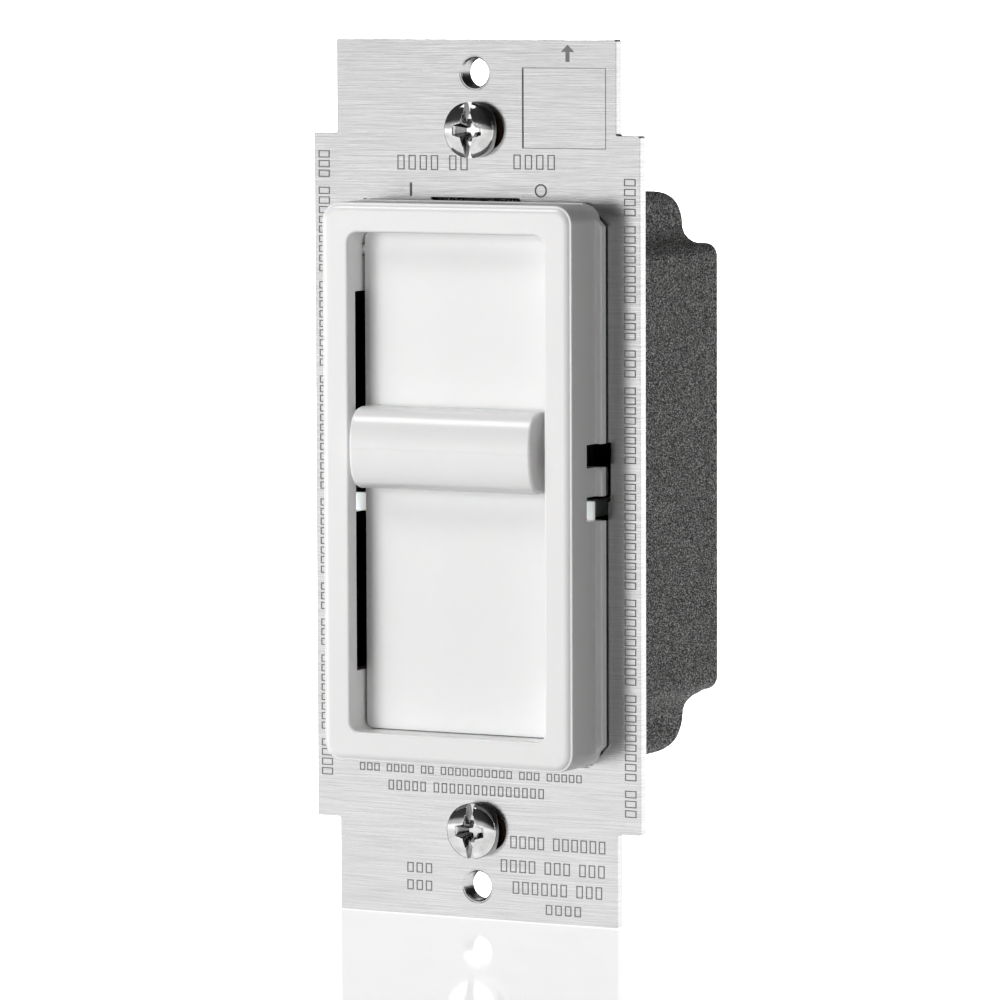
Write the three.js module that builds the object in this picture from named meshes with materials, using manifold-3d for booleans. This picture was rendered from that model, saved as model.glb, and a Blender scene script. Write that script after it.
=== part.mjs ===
// A slide dimmer for a wall box. An aluminium mounting strap carries a white bezel, with a press
// pad and a slide bar in front of it, and a dark housing with the dimming circuit behind it.
//
// Millimetres. X is to the right, Y is into the wall and Z is up. The origin is the middle of the
// strap's rear face, which lies on the wall.

import * as THREE from "three";
import { mergeVertices } from "three/addons/utils/BufferGeometryUtils.js";
import Module from "manifold-3d";

const wasm = await Module();
wasm.setup();

// ---------------------------------------------------------------- driving dimensions

const GAP = 0.3;

const STRAP_THICKNESS = 1.5;
const STRAP_HALF_HEIGHT = 52.35;
const STRAP_TAB_HALF_WIDTH = 18.6;
const STRAP_HALF_WIDTH = 21.7;
const STRAP_WIDE_HALF_HEIGHT = 41.15;
const STRAP_FRONT = -STRAP_THICKNESS;
const STRAP_CORNER = 0.5;
const STAMP = { left: 6.3, right: 17.2, bottom: 39.6, top: 49.0, depth: 0.15 };

const PLATE_HOLE_Z = 96.84 / 2;
const PLATE_HOLE = { radius: 1.75, sinkRadius: 2.15, sinkDepth: 0.35, collarRadius: 2.7, collarEnd: 0.9 };
const MOUNT_SCREW_Z = 83.34 / 2;
const MOUNT_SLOT = { halfWidth: 3.8, halfHeight: 2.35 };
const SCREW_HEAD = { radius: 3.32, side: 1.5, dome: 0.85, slotHalfWidth: 0.45, slotDepth: 1.0 };
const SCREW_CROSS = { halfLength: 1.7, halfWidth: 0.4, depth: 1.5 };
const SCREW_SHANK = { radius: 1.7, end: 17.5, point: 0.8 };
const RETAINER = { half: 3.9, corner: 0.8, front: 0.05, back: 0.75, holeRadius: 1.8 };
const LUG = { x: -14, z: -37, front: 0.05, thickness: 0.75, ringRadius: 3, barrelRadius: 1.4 };

const BEZEL = { halfWidth: 16.5, halfHeight: 33.2, front: -9.4, edge: 0.9, corner: 1.5 };
const FLANGE = { halfWidth: 17.5, halfHeight: 33.7, thickness: 1.4, chamferX: 2.6, chamferZ: 3.1 };
const OPENING = { halfWidth: 13.0, halfHeight: 29.7, corner: 1.0 };
const CHANNEL = { halfWidth: 15.0, halfHeight: 22.6, front: -7.45 };
const NOTCH = { front: -5.2, above: [2.35, 5.1], slit: [-1.7, -1.1], below: [-3.95, -1.65], floor: 16.0 };
const SNAP_WINDOW = { inner: 15.3, outer: 17.5 };

const PAD = { halfWidth: 12.7, halfHeight: 29.4, front: -5.6, thickness: 1.2, corner: 0.8 };
const PAD_HINGE_Z = 27.5;
const PAD_HINGE_Y = PAD.front + PAD.thickness / 2;
const TRUNNION_RADIUS = 0.6;
const TRUNNION_END = 14.1;

const BAR = { z: 4.2, halfWidth: 12.05, halfHeight: 4.85, front: -11.1, rear: -6.0, shoulder: -8.0 };
const BAR_END_ROUND = 0.6;
const BAR_WALL = 1.4;
const FOOT_HALF_HEIGHT = 3.0;
const FOOT_FRONT = -7.2;
const CARRIAGE = { front: -3.3, rear: -2.2, legFront: -5.8, legInner: 13.3, legOuter: 14.7 };
const TONGUE = { halfWidth: 2.0, halfHeight: 1.8, end: 4.8 };
const LEAF = { halfWidth: 2.6, halfHeight: 1.6, thickness: 0.3, fingerX: 1.9, fingerHalfWidth: 0.5 };
const TONGUE_SLOT = { halfWidth: 2.6, halfHeight: 22.4 };

const LEVER = { x: -2.4, halfWidth: 3.3, front: -2.2, rear: -1.7, top: 33.3, bottom: 30.0 };
const LEVER_POCKET = { halfWidth: 6.3, front: -2.5 };
const LEVER_STEM = { halfWidth: 1.4, bottom: 30.3, top: 31.6, end: 2.6 };
const LEVER_STEM_SLOT_HALF_WIDTH = 4.2;
const LEVER_LEAF = { halfWidth: 1.2, fingerHalfWidth: 0.6, thickness: 0.4, end: 7.6 };
const LEVER_CHANNEL = { halfWidth: 6.5, depth: 4, top: 31.9 };

const HOUSING = { halfWidth: 20.3, halfHeight: 27.0, middle: 0.7, back: 23.6, wall: 1.5, backCorner: 1.5 };
const HOUSING_SIDE_ROUND = 0.8;
const EAR = { halfWidth: 18.3, top: 33.55, flatDepth: 11.2, depth: 17.7, roundHeight: 4.4, fillet: 2.4 };
const CAVITY = { halfWidth: HOUSING.halfWidth - HOUSING.wall, bottom: -25.1, top: 26.2 };
const CAVITY_BACK = HOUSING.back - 1.8;
const HOUSING_SCREW = { x: 11, z: 27.6, headRadius: 1.9, headHeight: 0.9, radius: 1.1, end: 7 };
const HOUSING_SCREW_CROSS = { halfLength: 1.1, halfWidth: 0.3, depth: 0.5 };
const STAKE = { x: 13, z: 30.9, radius: 1.0, end: 0.9 };

const LEAD = { spacing: 9, z: 17, holeRadius: 2.1 };

const SHEET = { halfWidth: 14.7, narrowHalfWidth: 12.7, halfHeight: 29.4, thickness: 0.4 };
const SHEET_FRONT = STRAP_FRONT - SHEET.thickness;

const BOARD = { halfWidth: 17.6, halfHeight: 24.8, front: 8.0, thickness: 1.6 };
const BOARD_BACK = BOARD.front + BOARD.thickness;

const POT = { halfWidth: 4.6, halfHeight: 24.0, front: 0.6, floor: 6.6, trackHalfWidth: 3.2, endWall: 1.2 };
const TRACK = { inner: 0.8, outer: 3.0, thickness: 0.2 };
const PIPE = { inner: 13.2, outer: 14.9, bottom: -3.9, top: -1.8, front: -1.95, end: 4.4 };
const PLUNGER = { x: 9, z: -23.7, radius: 1.2, front: -4.3, end: 3.0, collarRadius: 1.7 };
const SWITCH = { x0: 5.2, x1: 13.0, z0: -24.8, z1: -16.0, front: 0.3, pocketEnd: 6.0 };
const TRIAC = { x: 9.7, halfWidth: 4.9, bodyBottom: 0, bodyTop: 9, tabTop: 24.4, rivetZ: 20.0 };
const TRIAC_FRONT = 0.45;
const TRIAC_TAB = 1.3;
const TRIAC_BODY = 4.4;
const TRIAC_PIN = { spacing: 2.54, halfWidth: 0.35, front: 2.6, back: 3.1, end: -4.4 };
const RIVET = { holeRadius: 1.6, headRadius: 2.4, sinkDepth: 0.9, clearance: 0.08, tailRadius: 2.6 };
const SPRING = { turns: 3, radius: 0.9, wire: 0.14, length: 1.6 };

// ---------------------------------------------------------------- geometry helpers

// Turns a geometry whose faces look inwards inside out, so that every solid faces out.
function facingOut(geometry) {
  const position = geometry.attributes.position;
  const index = geometry.index.array;
  const a = new THREE.Vector3();
  const b = new THREE.Vector3();
  const c = new THREE.Vector3();
  let volume = 0;
  for (let i = 0; i < index.length; i += 3) {
    a.fromBufferAttribute(position, index[i]);
    b.fromBufferAttribute(position, index[i + 1]);
    c.fromBufferAttribute(position, index[i + 2]);
    volume += a.dot(b.cross(c));
  }
  if (volume < 0) {
    for (let i = 0; i < index.length; i += 3) {
      [index[i], index[i + 1]] = [index[i + 1], index[i]];
    }
  }
  return geometry;
}

function solidOf(geometry) {
  const bare = geometry.clone();
  bare.deleteAttribute("normal");
  bare.deleteAttribute("uv");
  const merged = facingOut(mergeVertices(bare, 1e-4));
  return new wasm.Manifold(new wasm.Mesh({
    numProp: 3,
    vertProperties: new Float32Array(merged.attributes.position.array),
    triVerts: new Uint32Array(merged.index.array),
  }));
}

// Joins the first list of geometries into one body and cuts the second list out of it.
function shaped(joined, cuts = []) {
  let solid = solidOf(joined[0]);
  for (const piece of joined.slice(1)) {
    solid = solid.add(solidOf(piece));
  }
  for (const piece of cuts) {
    solid = solid.subtract(solidOf(piece));
  }
  const mesh = solid.getMesh();
  const geometry = new THREE.BufferGeometry();
  geometry.setAttribute("position", new THREE.BufferAttribute(mesh.vertProperties, 3));
  geometry.setIndex(new THREE.BufferAttribute(mesh.triVerts, 1));
  geometry.computeVertexNormals();
  return geometry;
}

function block([x0, x1], [y0, y1], [z0, z1]) {
  const geometry = new THREE.BoxGeometry(x1 - x0, y1 - y0, z1 - z0);
  return geometry.translate((x0 + x1) / 2, (y0 + y1) / 2, (z0 + z1) / 2);
}

function centredBlock(halfWidth, [y0, y1], halfHeight) {
  return block([-halfWidth, halfWidth], [y0, y1], [-halfHeight, halfHeight]);
}

// A round bar along Y, the direction in which screws and posts go into the wall.
function rodY(x, z, radius, y0, y1, sides = 24) {
  const geometry = new THREE.CylinderGeometry(radius, radius, y1 - y0, sides);
  return geometry.translate(x, (y0 + y1) / 2, z);
}

function rodX(y, z, radius, x0, x1, sides = 16) {
  const geometry = new THREE.CylinderGeometry(radius, radius, x1 - x0, sides);
  return geometry.rotateZ(Math.PI / 2).translate((x0 + x1) / 2, y, z);
}

// A turned body about the line along Y through (x, z). The profile lists [radius, y].
function turned(profile, x, z, sides = 32) {
  const points = profile.map(([radius, y]) => new THREE.Vector2(radius, y));
  return new THREE.LatheGeometry(points, sides).translate(x, 0, z);
}

// A closed outline through corners [x, y, radius], each rounded by its own radius.
function outline(corners) {
  const shape = new THREE.Shape();
  corners.forEach(([x, y, radius = 0], i) => {
    const corner = new THREE.Vector2(x, y);
    const [beforeX, beforeY] = corners.at(i - 1);
    const [afterX, afterY] = corners[(i + 1) % corners.length];
    const toBefore = new THREE.Vector2(beforeX - x, beforeY - y).normalize();
    const toAfter = new THREE.Vector2(afterX - x, afterY - y).normalize();
    const halfAngle = Math.acos(toBefore.dot(toAfter)) / 2;
    const cut = radius / Math.tan(halfAngle);
    const start = corner.clone().addScaledVector(toBefore, cut);
    const end = corner.clone().addScaledVector(toAfter, cut);
    if (i === 0) {
      shape.moveTo(start.x, start.y);
    } else {
      shape.lineTo(start.x, start.y);
    }
    if (radius > 0) {
      shape.quadraticCurveTo(x, y, end.x, end.y);
    }
  });
  shape.closePath();
  return shape;
}

function rectangle(halfWidth, halfHeight, radius) {
  return outline([
    [-halfWidth, -halfHeight, radius],
    [halfWidth, -halfHeight, radius],
    [halfWidth, halfHeight, radius],
    [-halfWidth, halfHeight, radius],
  ]);
}

// Extrudes an outline drawn in X and Z along Y, from y0 to y1.
function extrudedY(shape, y0, y1, curveSegments = 5) {
  const options = { depth: y1 - y0, bevelEnabled: false, curveSegments };
  return new THREE.ExtrudeGeometry(shape, options).rotateX(Math.PI / 2).translate(0, y1, 0);
}

// The same, with the outline's front edge rounded by the given radius.
function roundedFrontY(shape, y0, y1, edge, curveSegments = 5) {
  const options = {
    depth: y1 - y0,
    bevelEnabled: true,
    bevelThickness: edge,
    bevelSize: edge,
    bevelOffset: -edge,
    bevelSegments: 4,
    curveSegments,
  };
  const whole = new THREE.ExtrudeGeometry(shape, options).rotateX(Math.PI / 2).translate(0, y1 + edge, 0);
  return shaped([whole], [centredBlock(100, [y1, y1 + 3 * edge], 100)]);
}

// Extrudes an outline drawn in Y and Z along X, from -halfWidth to halfWidth, with rounded ends.
function extrudedX(shape, halfWidth, edge = 0, curveSegments = 8) {
  const options = {
    depth: 2 * (halfWidth - edge),
    bevelEnabled: edge > 0,
    bevelThickness: edge,
    bevelSize: edge,
    bevelOffset: -edge,
    bevelSegments: 3,
    curveSegments,
  };
  const upright = new THREE.Matrix4().set(0, 0, 1, 0, 1, 0, 0, 0, 0, 1, 0, 0, 0, 0, 0, 1);
  const geometry = new THREE.ExtrudeGeometry(shape, options);
  return geometry.translate(0, 0, edge - halfWidth).applyMatrix4(upright);
}

// A round wire along a curve, closed at both ends.
function wire(curve, radius, steps, sides = 6) {
  const section = new THREE.Shape();
  for (let i = 0; i < sides; i += 1) {
    const angle = (2 * Math.PI * i) / sides;
    const point = [radius * Math.cos(angle), radius * Math.sin(angle)];
    if (i === 0) {
      section.moveTo(...point);
    } else {
      section.lineTo(...point);
    }
  }
  section.closePath();
  return new THREE.ExtrudeGeometry(section, { steps, bevelEnabled: false, extrudePath: curve });
}

// Both mirror images, left and right, of what make(side) gives for side -1 and side 1.
function bothSides(make) {
  return [-1, 1].map((side) => make(side));
}

function sideBlock(side, [x0, x1], y, z) {
  return block(side < 0 ? [-x1, -x0] : [x0, x1], y, z);
}

// ---------------------------------------------------------------- finishes

const finish = (color, roughness, metalness) => () =>
  new THREE.MeshStandardMaterial({ color, roughness, metalness });

const brushedAluminium = finish(0xc9cbcc, 0.38, 1.0);
const whitePlastic = finish(0xeeeeec, 0.28, 0.0);
const darkPlastic = finish(0x3f3f3c, 0.75, 0.0);
const blackPlastic = finish(0x141414, 0.6, 0.0);
const chrome = finish(0xd8d8d8, 0.15, 1.0);
const steel = finish(0xa9abad, 0.35, 1.0);
const fibre = finish(0x6f4a33, 0.9, 0.0);
const bronze = finish(0xb98a4a, 0.35, 1.0);
const copperEnamel = finish(0x8a4526, 0.35, 0.4);
const tinned = finish(0xbfc2c4, 0.3, 1.0);
const boardLaminate = finish(0x9b7b42, 0.6, 0.0);
const carbon = finish(0x1c1c1e, 0.5, 0.0);
const ferrite = finish(0x5d6b58, 0.6, 0.0);
const capacitorCase = finish(0xb87420, 0.35, 0.0);
const blueCase = finish(0x2f5f94, 0.4, 0.0);
const clearPlastic = finish(0xf4f5f2, 0.2, 0.0);
const lampLens = finish(0x8fca6a, 0.15, 0.0);
const grayPad = finish(0x9a9a98, 0.8, 0.0);
const resistorBody = finish(0xc8a878, 0.5, 0.0);
const glassRed = finish(0xa8452c, 0.2, 0.0);

const dimmer = new THREE.Group();

function add(name, geometry, material) {
  const mesh = new THREE.Mesh(geometry, material());
  mesh.name = name;
  dimmer.add(mesh);
  return mesh;
}

// ---------------------------------------------------------------- strap and what holds it

function mountingStrap() {
  const corner = STRAP_CORNER;
  const inner = 0.2;
  const tab = STRAP_TAB_HALF_WIDTH;
  const wide = STRAP_HALF_WIDTH;
  const top = STRAP_HALF_HEIGHT;
  const shoulder = STRAP_WIDE_HALF_HEIGHT;
  const plate = extrudedY(outline([
    [-tab, -top, corner], [tab, -top, corner], [tab, -shoulder, inner], [wide, -shoulder, corner],
    [wide, shoulder, corner], [tab, shoulder, inner], [tab, top, corner], [-tab, top, corner],
    [-tab, shoulder, inner], [-wide, shoulder, corner], [-wide, -shoulder, corner], [-tab, -shoulder, inner],
  ]), STRAP_FRONT, 0, 2);

  const through = [STRAP_FRONT - 1, 2];
  const collars = [];
  const cuts = [
    centredBlock(TONGUE_SLOT.halfWidth, through, TONGUE_SLOT.halfHeight),
    rodY(PLUNGER.x, PLUNGER.z, PLUNGER.radius + 0.2, ...through, 20),
    rodY(TRIAC.x, TRIAC.rivetZ, RIVET.holeRadius, ...through, 20),
    sink(RIVET.headRadius + 0.2, RIVET.holeRadius, RIVET.sinkDepth, TRIAC.x, TRIAC.rivetZ),
    block([-LEVER_STEM_SLOT_HALF_WIDTH, LEVER_STEM_SLOT_HALF_WIDTH], through,
      [LEVER_STEM.bottom - GAP, LEVER_STEM.top + GAP]),
    stampedPanel(),
  ];
  for (const end of [-1, 1]) {
    const plateHoleZ = end * PLATE_HOLE_Z;
    collars.push(rodY(0, plateHoleZ, PLATE_HOLE.collarRadius, -0.1, PLATE_HOLE.collarEnd));
    cuts.push(rodY(0, plateHoleZ, PLATE_HOLE.radius, ...through));
    cuts.push(sink(PLATE_HOLE.sinkRadius, PLATE_HOLE.radius - 0.05, PLATE_HOLE.sinkDepth, 0, plateHoleZ));
    cuts.push(screwSlot(end * MOUNT_SCREW_Z, through));
    for (const side of [-1, 1]) {
      cuts.push(rodY(side * HOUSING_SCREW.x, end * HOUSING_SCREW.z, HOUSING_SCREW.radius + 0.2,
        ...through, 16));
      cuts.push(rodY(side * STAKE.x, end * STAKE.z, STAKE.radius + 0.1, ...through, 16));
    }
  }
  for (const side of [-1, 1]) {
    cuts.push(sideBlock(side, [PIPE.inner - GAP, PIPE.outer + GAP], through,
      [PIPE.bottom - GAP, PIPE.top + GAP]));
    cuts.push(sideBlock(side, [SNAP_WINDOW.inner, SNAP_WINDOW.outer], through, NOTCH.above));
  }
  return shaped([plate, ...collars], cuts);
}

// A conical countersink in the strap's face, narrowing from one radius to the other.
function sink(wideRadius, narrowRadius, depth, x, z) {
  const mouth = STRAP_FRONT - 0.1;
  const floor = STRAP_FRONT + depth;
  return turned([[0, mouth], [wideRadius, mouth], [narrowRadius, floor], [0, floor]], x, z, 24);
}

// The shallow stamped rectangle on the top right of the strap's face.
function stampedPanel() {
  return block([STAMP.left, STAMP.right], [STRAP_FRONT - 1, STRAP_FRONT + STAMP.depth],
    [STAMP.bottom, STAMP.top]);
}

// The slot for a box screw, with round ends, lying across the strap.
function screwSlot(z, [y0, y1]) {
  const { halfWidth, halfHeight } = MOUNT_SLOT;
  const round = halfWidth - halfHeight;
  const shape = new THREE.Shape();
  shape.absarc(round, 0, halfHeight, -Math.PI / 2, Math.PI / 2);
  shape.absarc(-round, 0, halfHeight, Math.PI / 2, 1.5 * Math.PI);
  return extrudedY(shape, y0, y1, 8).translate(0, 0, z);
}

function mountingScrew(z) {
  const head = SCREW_HEAD;
  const shank = SCREW_SHANK;
  const rim = STRAP_FRONT - head.side;
  const crown = rim - head.dome;
  const profile = [[0, crown]];
  const domeSteps = 6;
  for (let i = 1; i <= domeSteps; i += 1) {
    const angle = (i / domeSteps) * (Math.PI / 2);
    profile.push([head.radius * Math.sin(angle), rim - head.dome * Math.cos(angle)]);
  }
  profile.push(
    [head.radius, STRAP_FRONT],
    [shank.radius, STRAP_FRONT],
    [shank.radius, shank.end - shank.point],
    [shank.radius - shank.point, shank.end],
    [0, shank.end],
  );
  const recess = (halfX, halfZ, depth) => block([-halfX, halfX], [crown - 1, crown + depth],
    [z - halfZ, z + halfZ]);
  return shaped([turned(profile, 0, z, 36)], [
    recess(head.slotHalfWidth, head.radius + 1, head.slotDepth),
    recess(SCREW_CROSS.halfLength, SCREW_CROSS.halfWidth, SCREW_CROSS.depth),
    recess(SCREW_CROSS.halfWidth, SCREW_CROSS.halfLength, SCREW_CROSS.depth),
  ]);
}

// The fibre washer that keeps a mounting screw in its slot while the dimmer is handled.
function screwRetainer(z) {
  const { half, corner, front, back, holeRadius } = RETAINER;
  const washer = extrudedY(rectangle(half, half, corner), front, back).translate(0, 0, z);
  return shaped([washer], [rodY(0, z, holeRadius, front - 1, back + 1)]);
}

// A ring staked to the strap's back, with a crimp barrel for the ground wire beside it.
function groundLug() {
  const { x, z, front, thickness, ringRadius, barrelRadius } = LUG;
  const back = front + thickness;
  const barrelY = front + barrelRadius;
  const barrelStart = x + 1.5 * ringRadius;
  const barrelEnd = barrelStart + 5.5;
  const ring = rodY(x, z, ringRadius, front, back);
  const stake = rodY(x, z, 0.45 * ringRadius, front, 2 * back, 20);
  const neck = block([x + 2, barrelStart + 0.5], [front, back], [z - 1.2, z + 1.2]);
  const barrel = rodX(barrelY, z, barrelRadius, barrelStart, barrelEnd);
  const bore = rodX(barrelY, z, barrelRadius - 0.5, barrelStart + 1.5, barrelEnd + 1);
  return shaped([ring, stake, neck, barrel], [bore]);
}

// ---------------------------------------------------------------- bezel, pad and slide bar

function bezelFrame() {
  const body = roundedFrontY(rectangle(BEZEL.halfWidth, BEZEL.halfHeight, BEZEL.corner),
    BEZEL.front, STRAP_FRONT, BEZEL.edge);
  const { halfWidth: w, halfHeight: h, chamferX: cx, chamferZ: cz } = FLANGE;
  const flange = extrudedY(outline([
    [w, h - cz], [w - cx, h], [cx - w, h], [-w, h - cz],
    [-w, cz - h], [cx - w, -h], [w - cx, -h], [w, cz - h],
  ]), STRAP_FRONT - FLANGE.thickness, STRAP_FRONT);

  const behind = STRAP_FRONT + 1;
  const opening = extrudedY(rectangle(OPENING.halfWidth, OPENING.halfHeight, OPENING.corner),
    BEZEL.front - 1, behind);
  const leverPocket = block([-LEVER_POCKET.halfWidth, LEVER_POCKET.halfWidth],
    [LEVER_POCKET.front, behind], [OPENING.halfHeight - 0.1, h + 1]);
  const cuts = [opening, leverPocket];
  const stakes = [];
  for (const side of [-1, 1]) {
    const channelDepth = [CHANNEL.front, behind];
    cuts.push(sideBlock(side, [OPENING.halfWidth - 1, CHANNEL.halfWidth], channelDepth,
      [-CHANNEL.halfHeight, CHANNEL.halfHeight]));
    cuts.push(...sideNotches(side, behind));
    cuts.push(...trunnionPocket(side, behind));
    for (const end of [-1, 1]) {
      stakes.push(rodY(side * STAKE.x, end * STAKE.z, STAKE.radius, STRAP_FRONT - 1, STAKE.end, 16));
    }
  }
  return shaped([shaped([body, flange], cuts), ...stakes]);
}

// In each side a deep notch above and a slit below leave a snap tab at mid height. Under the slit is a
// shallow notch with a closed floor.
function sideNotches(side, behind) {
  const depth = [NOTCH.front, behind];
  const through = [CHANNEL.halfWidth - 0.5, FLANGE.halfWidth + 1];
  return [
    sideBlock(side, through, depth, NOTCH.above),
    sideBlock(side, through, depth, NOTCH.slit),
    sideBlock(side, [NOTCH.floor, FLANGE.halfWidth + 1], depth, NOTCH.below),
  ];
}

// The seat of a pad trunnion, open to the rear so that the pad can be laid in.
function trunnionPocket(side, behind) {
  const radius = TRUNNION_RADIUS + 0.15;
  const across = [OPENING.halfWidth - 1, TRUNNION_END + GAP];
  const [x0, x1] = side < 0 ? [-across[1], -across[0]] : across;
  return [
    rodX(PAD_HINGE_Y, PAD_HINGE_Z, radius, x0, x1),
    block([x0, x1], [PAD_HINGE_Y, behind], [PAD_HINGE_Z - radius, PAD_HINGE_Z + radius]),
  ];
}

function pushPad() {
  const plate = extrudedY(rectangle(PAD.halfWidth, PAD.halfHeight, PAD.corner),
    PAD.front, PAD.front + PAD.thickness);
  const trunnions = rodX(PAD_HINGE_Y, PAD_HINGE_Z, TRUNNION_RADIUS, -TRUNNION_END, TRUNNION_END);
  return shaped([plate, trunnions]);
}

// The bar's section in Y and Z about its own middle height: flat behind, bowed in front.
function barSection(front, rear, shoulder, halfHeight) {
  const bow = front - shoulder;
  const shape = new THREE.Shape();
  shape.moveTo(rear, -halfHeight);
  shape.lineTo(shoulder, -halfHeight);
  shape.bezierCurveTo(shoulder + 0.75 * bow, -halfHeight, front, -0.62 * halfHeight, front, 0);
  shape.bezierCurveTo(front, 0.62 * halfHeight, shoulder + 0.75 * bow, halfHeight, shoulder, halfHeight);
  shape.lineTo(rear, halfHeight);
  shape.closePath();
  return shape;
}

function slideBar() {
  const wall = BAR_WALL;
  const outside = extrudedX(barSection(BAR.front, BAR.rear, BAR.shoulder, BAR.halfHeight),
    BAR.halfWidth, BAR_END_ROUND);
  const hollow = extrudedX(barSection(BAR.front + wall, BAR.rear + 1, BAR.shoulder + 0.2,
    BAR.halfHeight - wall), BAR.halfWidth - wall);
  const feet = bothSides((side) => sideBlock(side, [BAR.halfWidth - BAR_END_ROUND - 0.1, CARRIAGE.legOuter],
    [FOOT_FRONT, BAR.rear], [-FOOT_HALF_HEIGHT, FOOT_HALF_HEIGHT]));
  return shaped([outside, ...feet], [hollow]).translate(0, 0, BAR.z);
}

// The dark bridge behind the pad that joins the bar's feet and drives the wiper.
function slideCarriage() {
  const height = [-FOOT_HALF_HEIGHT, FOOT_HALF_HEIGHT];
  const bridge = block([-CARRIAGE.legOuter, CARRIAGE.legOuter], [CARRIAGE.front, CARRIAGE.rear], height);
  const legs = bothSides((side) => sideBlock(side, [CARRIAGE.legInner, CARRIAGE.legOuter],
    [CARRIAGE.legFront, CARRIAGE.rear], height));
  const tongue = block([-TONGUE.halfWidth, TONGUE.halfWidth], [CARRIAGE.front, TONGUE.end],
    [-TONGUE.halfHeight, TONGUE.halfHeight]);
  return shaped([bridge, ...legs, tongue]).translate(0, 0, BAR.z);
}

// A bronze leaf on the tongue's end, with one finger on each track.
function wiperContact() {
  const front = TONGUE.end;
  const back = front + LEAF.thickness;
  const leaf = centredBlock(LEAF.halfWidth, [front, back], LEAF.halfHeight);
  const fingers = bothSides((side) => {
    const section = outline([[front, -1.4], [back, -1.4], [back + 1.2, -2.9], [front + 1.2, -3.1]]);
    return extrudedX(section, LEAF.fingerHalfWidth).translate(side * LEAF.fingerX, 0, 0);
  });
  return shaped([leaf, ...fingers]).translate(0, 0, BAR.z);
}

// The black sheet that insulates the strap from the moving parts in front of it.
function insulatingSheet() {
  const { halfWidth: wide, narrowHalfWidth: narrow, halfHeight: top } = SHEET;
  const step = CHANNEL.halfHeight - GAP;
  const sheet = extrudedY(outline([
    [-narrow, -top], [narrow, -top], [narrow, -step], [wide, -step], [wide, step], [narrow, step],
    [narrow, top], [-narrow, top], [-narrow, step], [-wide, step], [-wide, -step], [-narrow, -step],
  ]), SHEET_FRONT, STRAP_FRONT);
  const through = [SHEET_FRONT - 1, STRAP_FRONT + 1];
  const cuts = [
    centredBlock(TONGUE_SLOT.halfWidth, through, TONGUE_SLOT.halfHeight),
    rodY(PLUNGER.x, PLUNGER.z, PLUNGER.radius + 0.4, ...through, 20),
  ];
  for (const side of [-1, 1]) {
    cuts.push(sideBlock(side, [PIPE.inner - GAP, SHEET.halfWidth + 1], through,
      [PIPE.bottom - GAP, PIPE.top + GAP]));
    for (const end of [-1, 1]) {
      const head = HOUSING_SCREW.headRadius + GAP;
      const corner = block([HOUSING_SCREW.x - head, narrow + 1], through, [HOUSING_SCREW.z - head, top + 1]);
      cuts.push(corner.scale(side, 1, end));
    }
  }
  return shaped([sheet], cuts);
}

// The small slide above the bezel that turns the locator light on or off.
function lightSelectorLever() {
  const plate = block([-LEVER.halfWidth, LEVER.halfWidth], [LEVER.front, LEVER.rear],
    [LEVER.bottom, LEVER.top]);
  const stem = block([-LEVER_STEM.halfWidth, LEVER_STEM.halfWidth], [LEVER.rear, LEVER_STEM.end],
    [LEVER_STEM.bottom, LEVER_STEM.top]);
  return shaped([plate, stem]).translate(LEVER.x, 0, 0);
}

function lightSelectorContact() {
  const top = LEVER_STEM.bottom;
  const foot = POT.halfHeight + GAP;
  const { halfWidth, fingerHalfWidth, thickness, end } = LEVER_LEAF;
  const front = LEVER_STEM.end - thickness;
  const leaf = block([-halfWidth, halfWidth], [front, LEVER_STEM.end], [foot, top]);
  const finger = block([-fingerHalfWidth, fingerHalfWidth], [front, end], [foot, foot + thickness]);
  return shaped([leaf, finger]).translate(LEVER.x, 0, 0);
}

// ---------------------------------------------------------------- housing

// Section through an ear in Y and Z: flat on top, rounded at the back, with a hollow fillet where
// it meets the end of the body.
function earSection() {
  const root = HOUSING.halfHeight;
  const shoulder = EAR.top - EAR.roundHeight;
  const shape = new THREE.Shape();
  shape.moveTo(-2, root - 2);
  shape.lineTo(-2, EAR.top);
  shape.lineTo(EAR.flatDepth, EAR.top);
  shape.absellipse(EAR.flatDepth, shoulder, EAR.depth - EAR.flatDepth, EAR.roundHeight, Math.PI / 2, 0, true);
  shape.quadraticCurveTo(EAR.depth, root, EAR.depth + EAR.fillet, root);
  shape.lineTo(EAR.depth + EAR.fillet, root - 2);
  shape.closePath();
  return shape;
}

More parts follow.
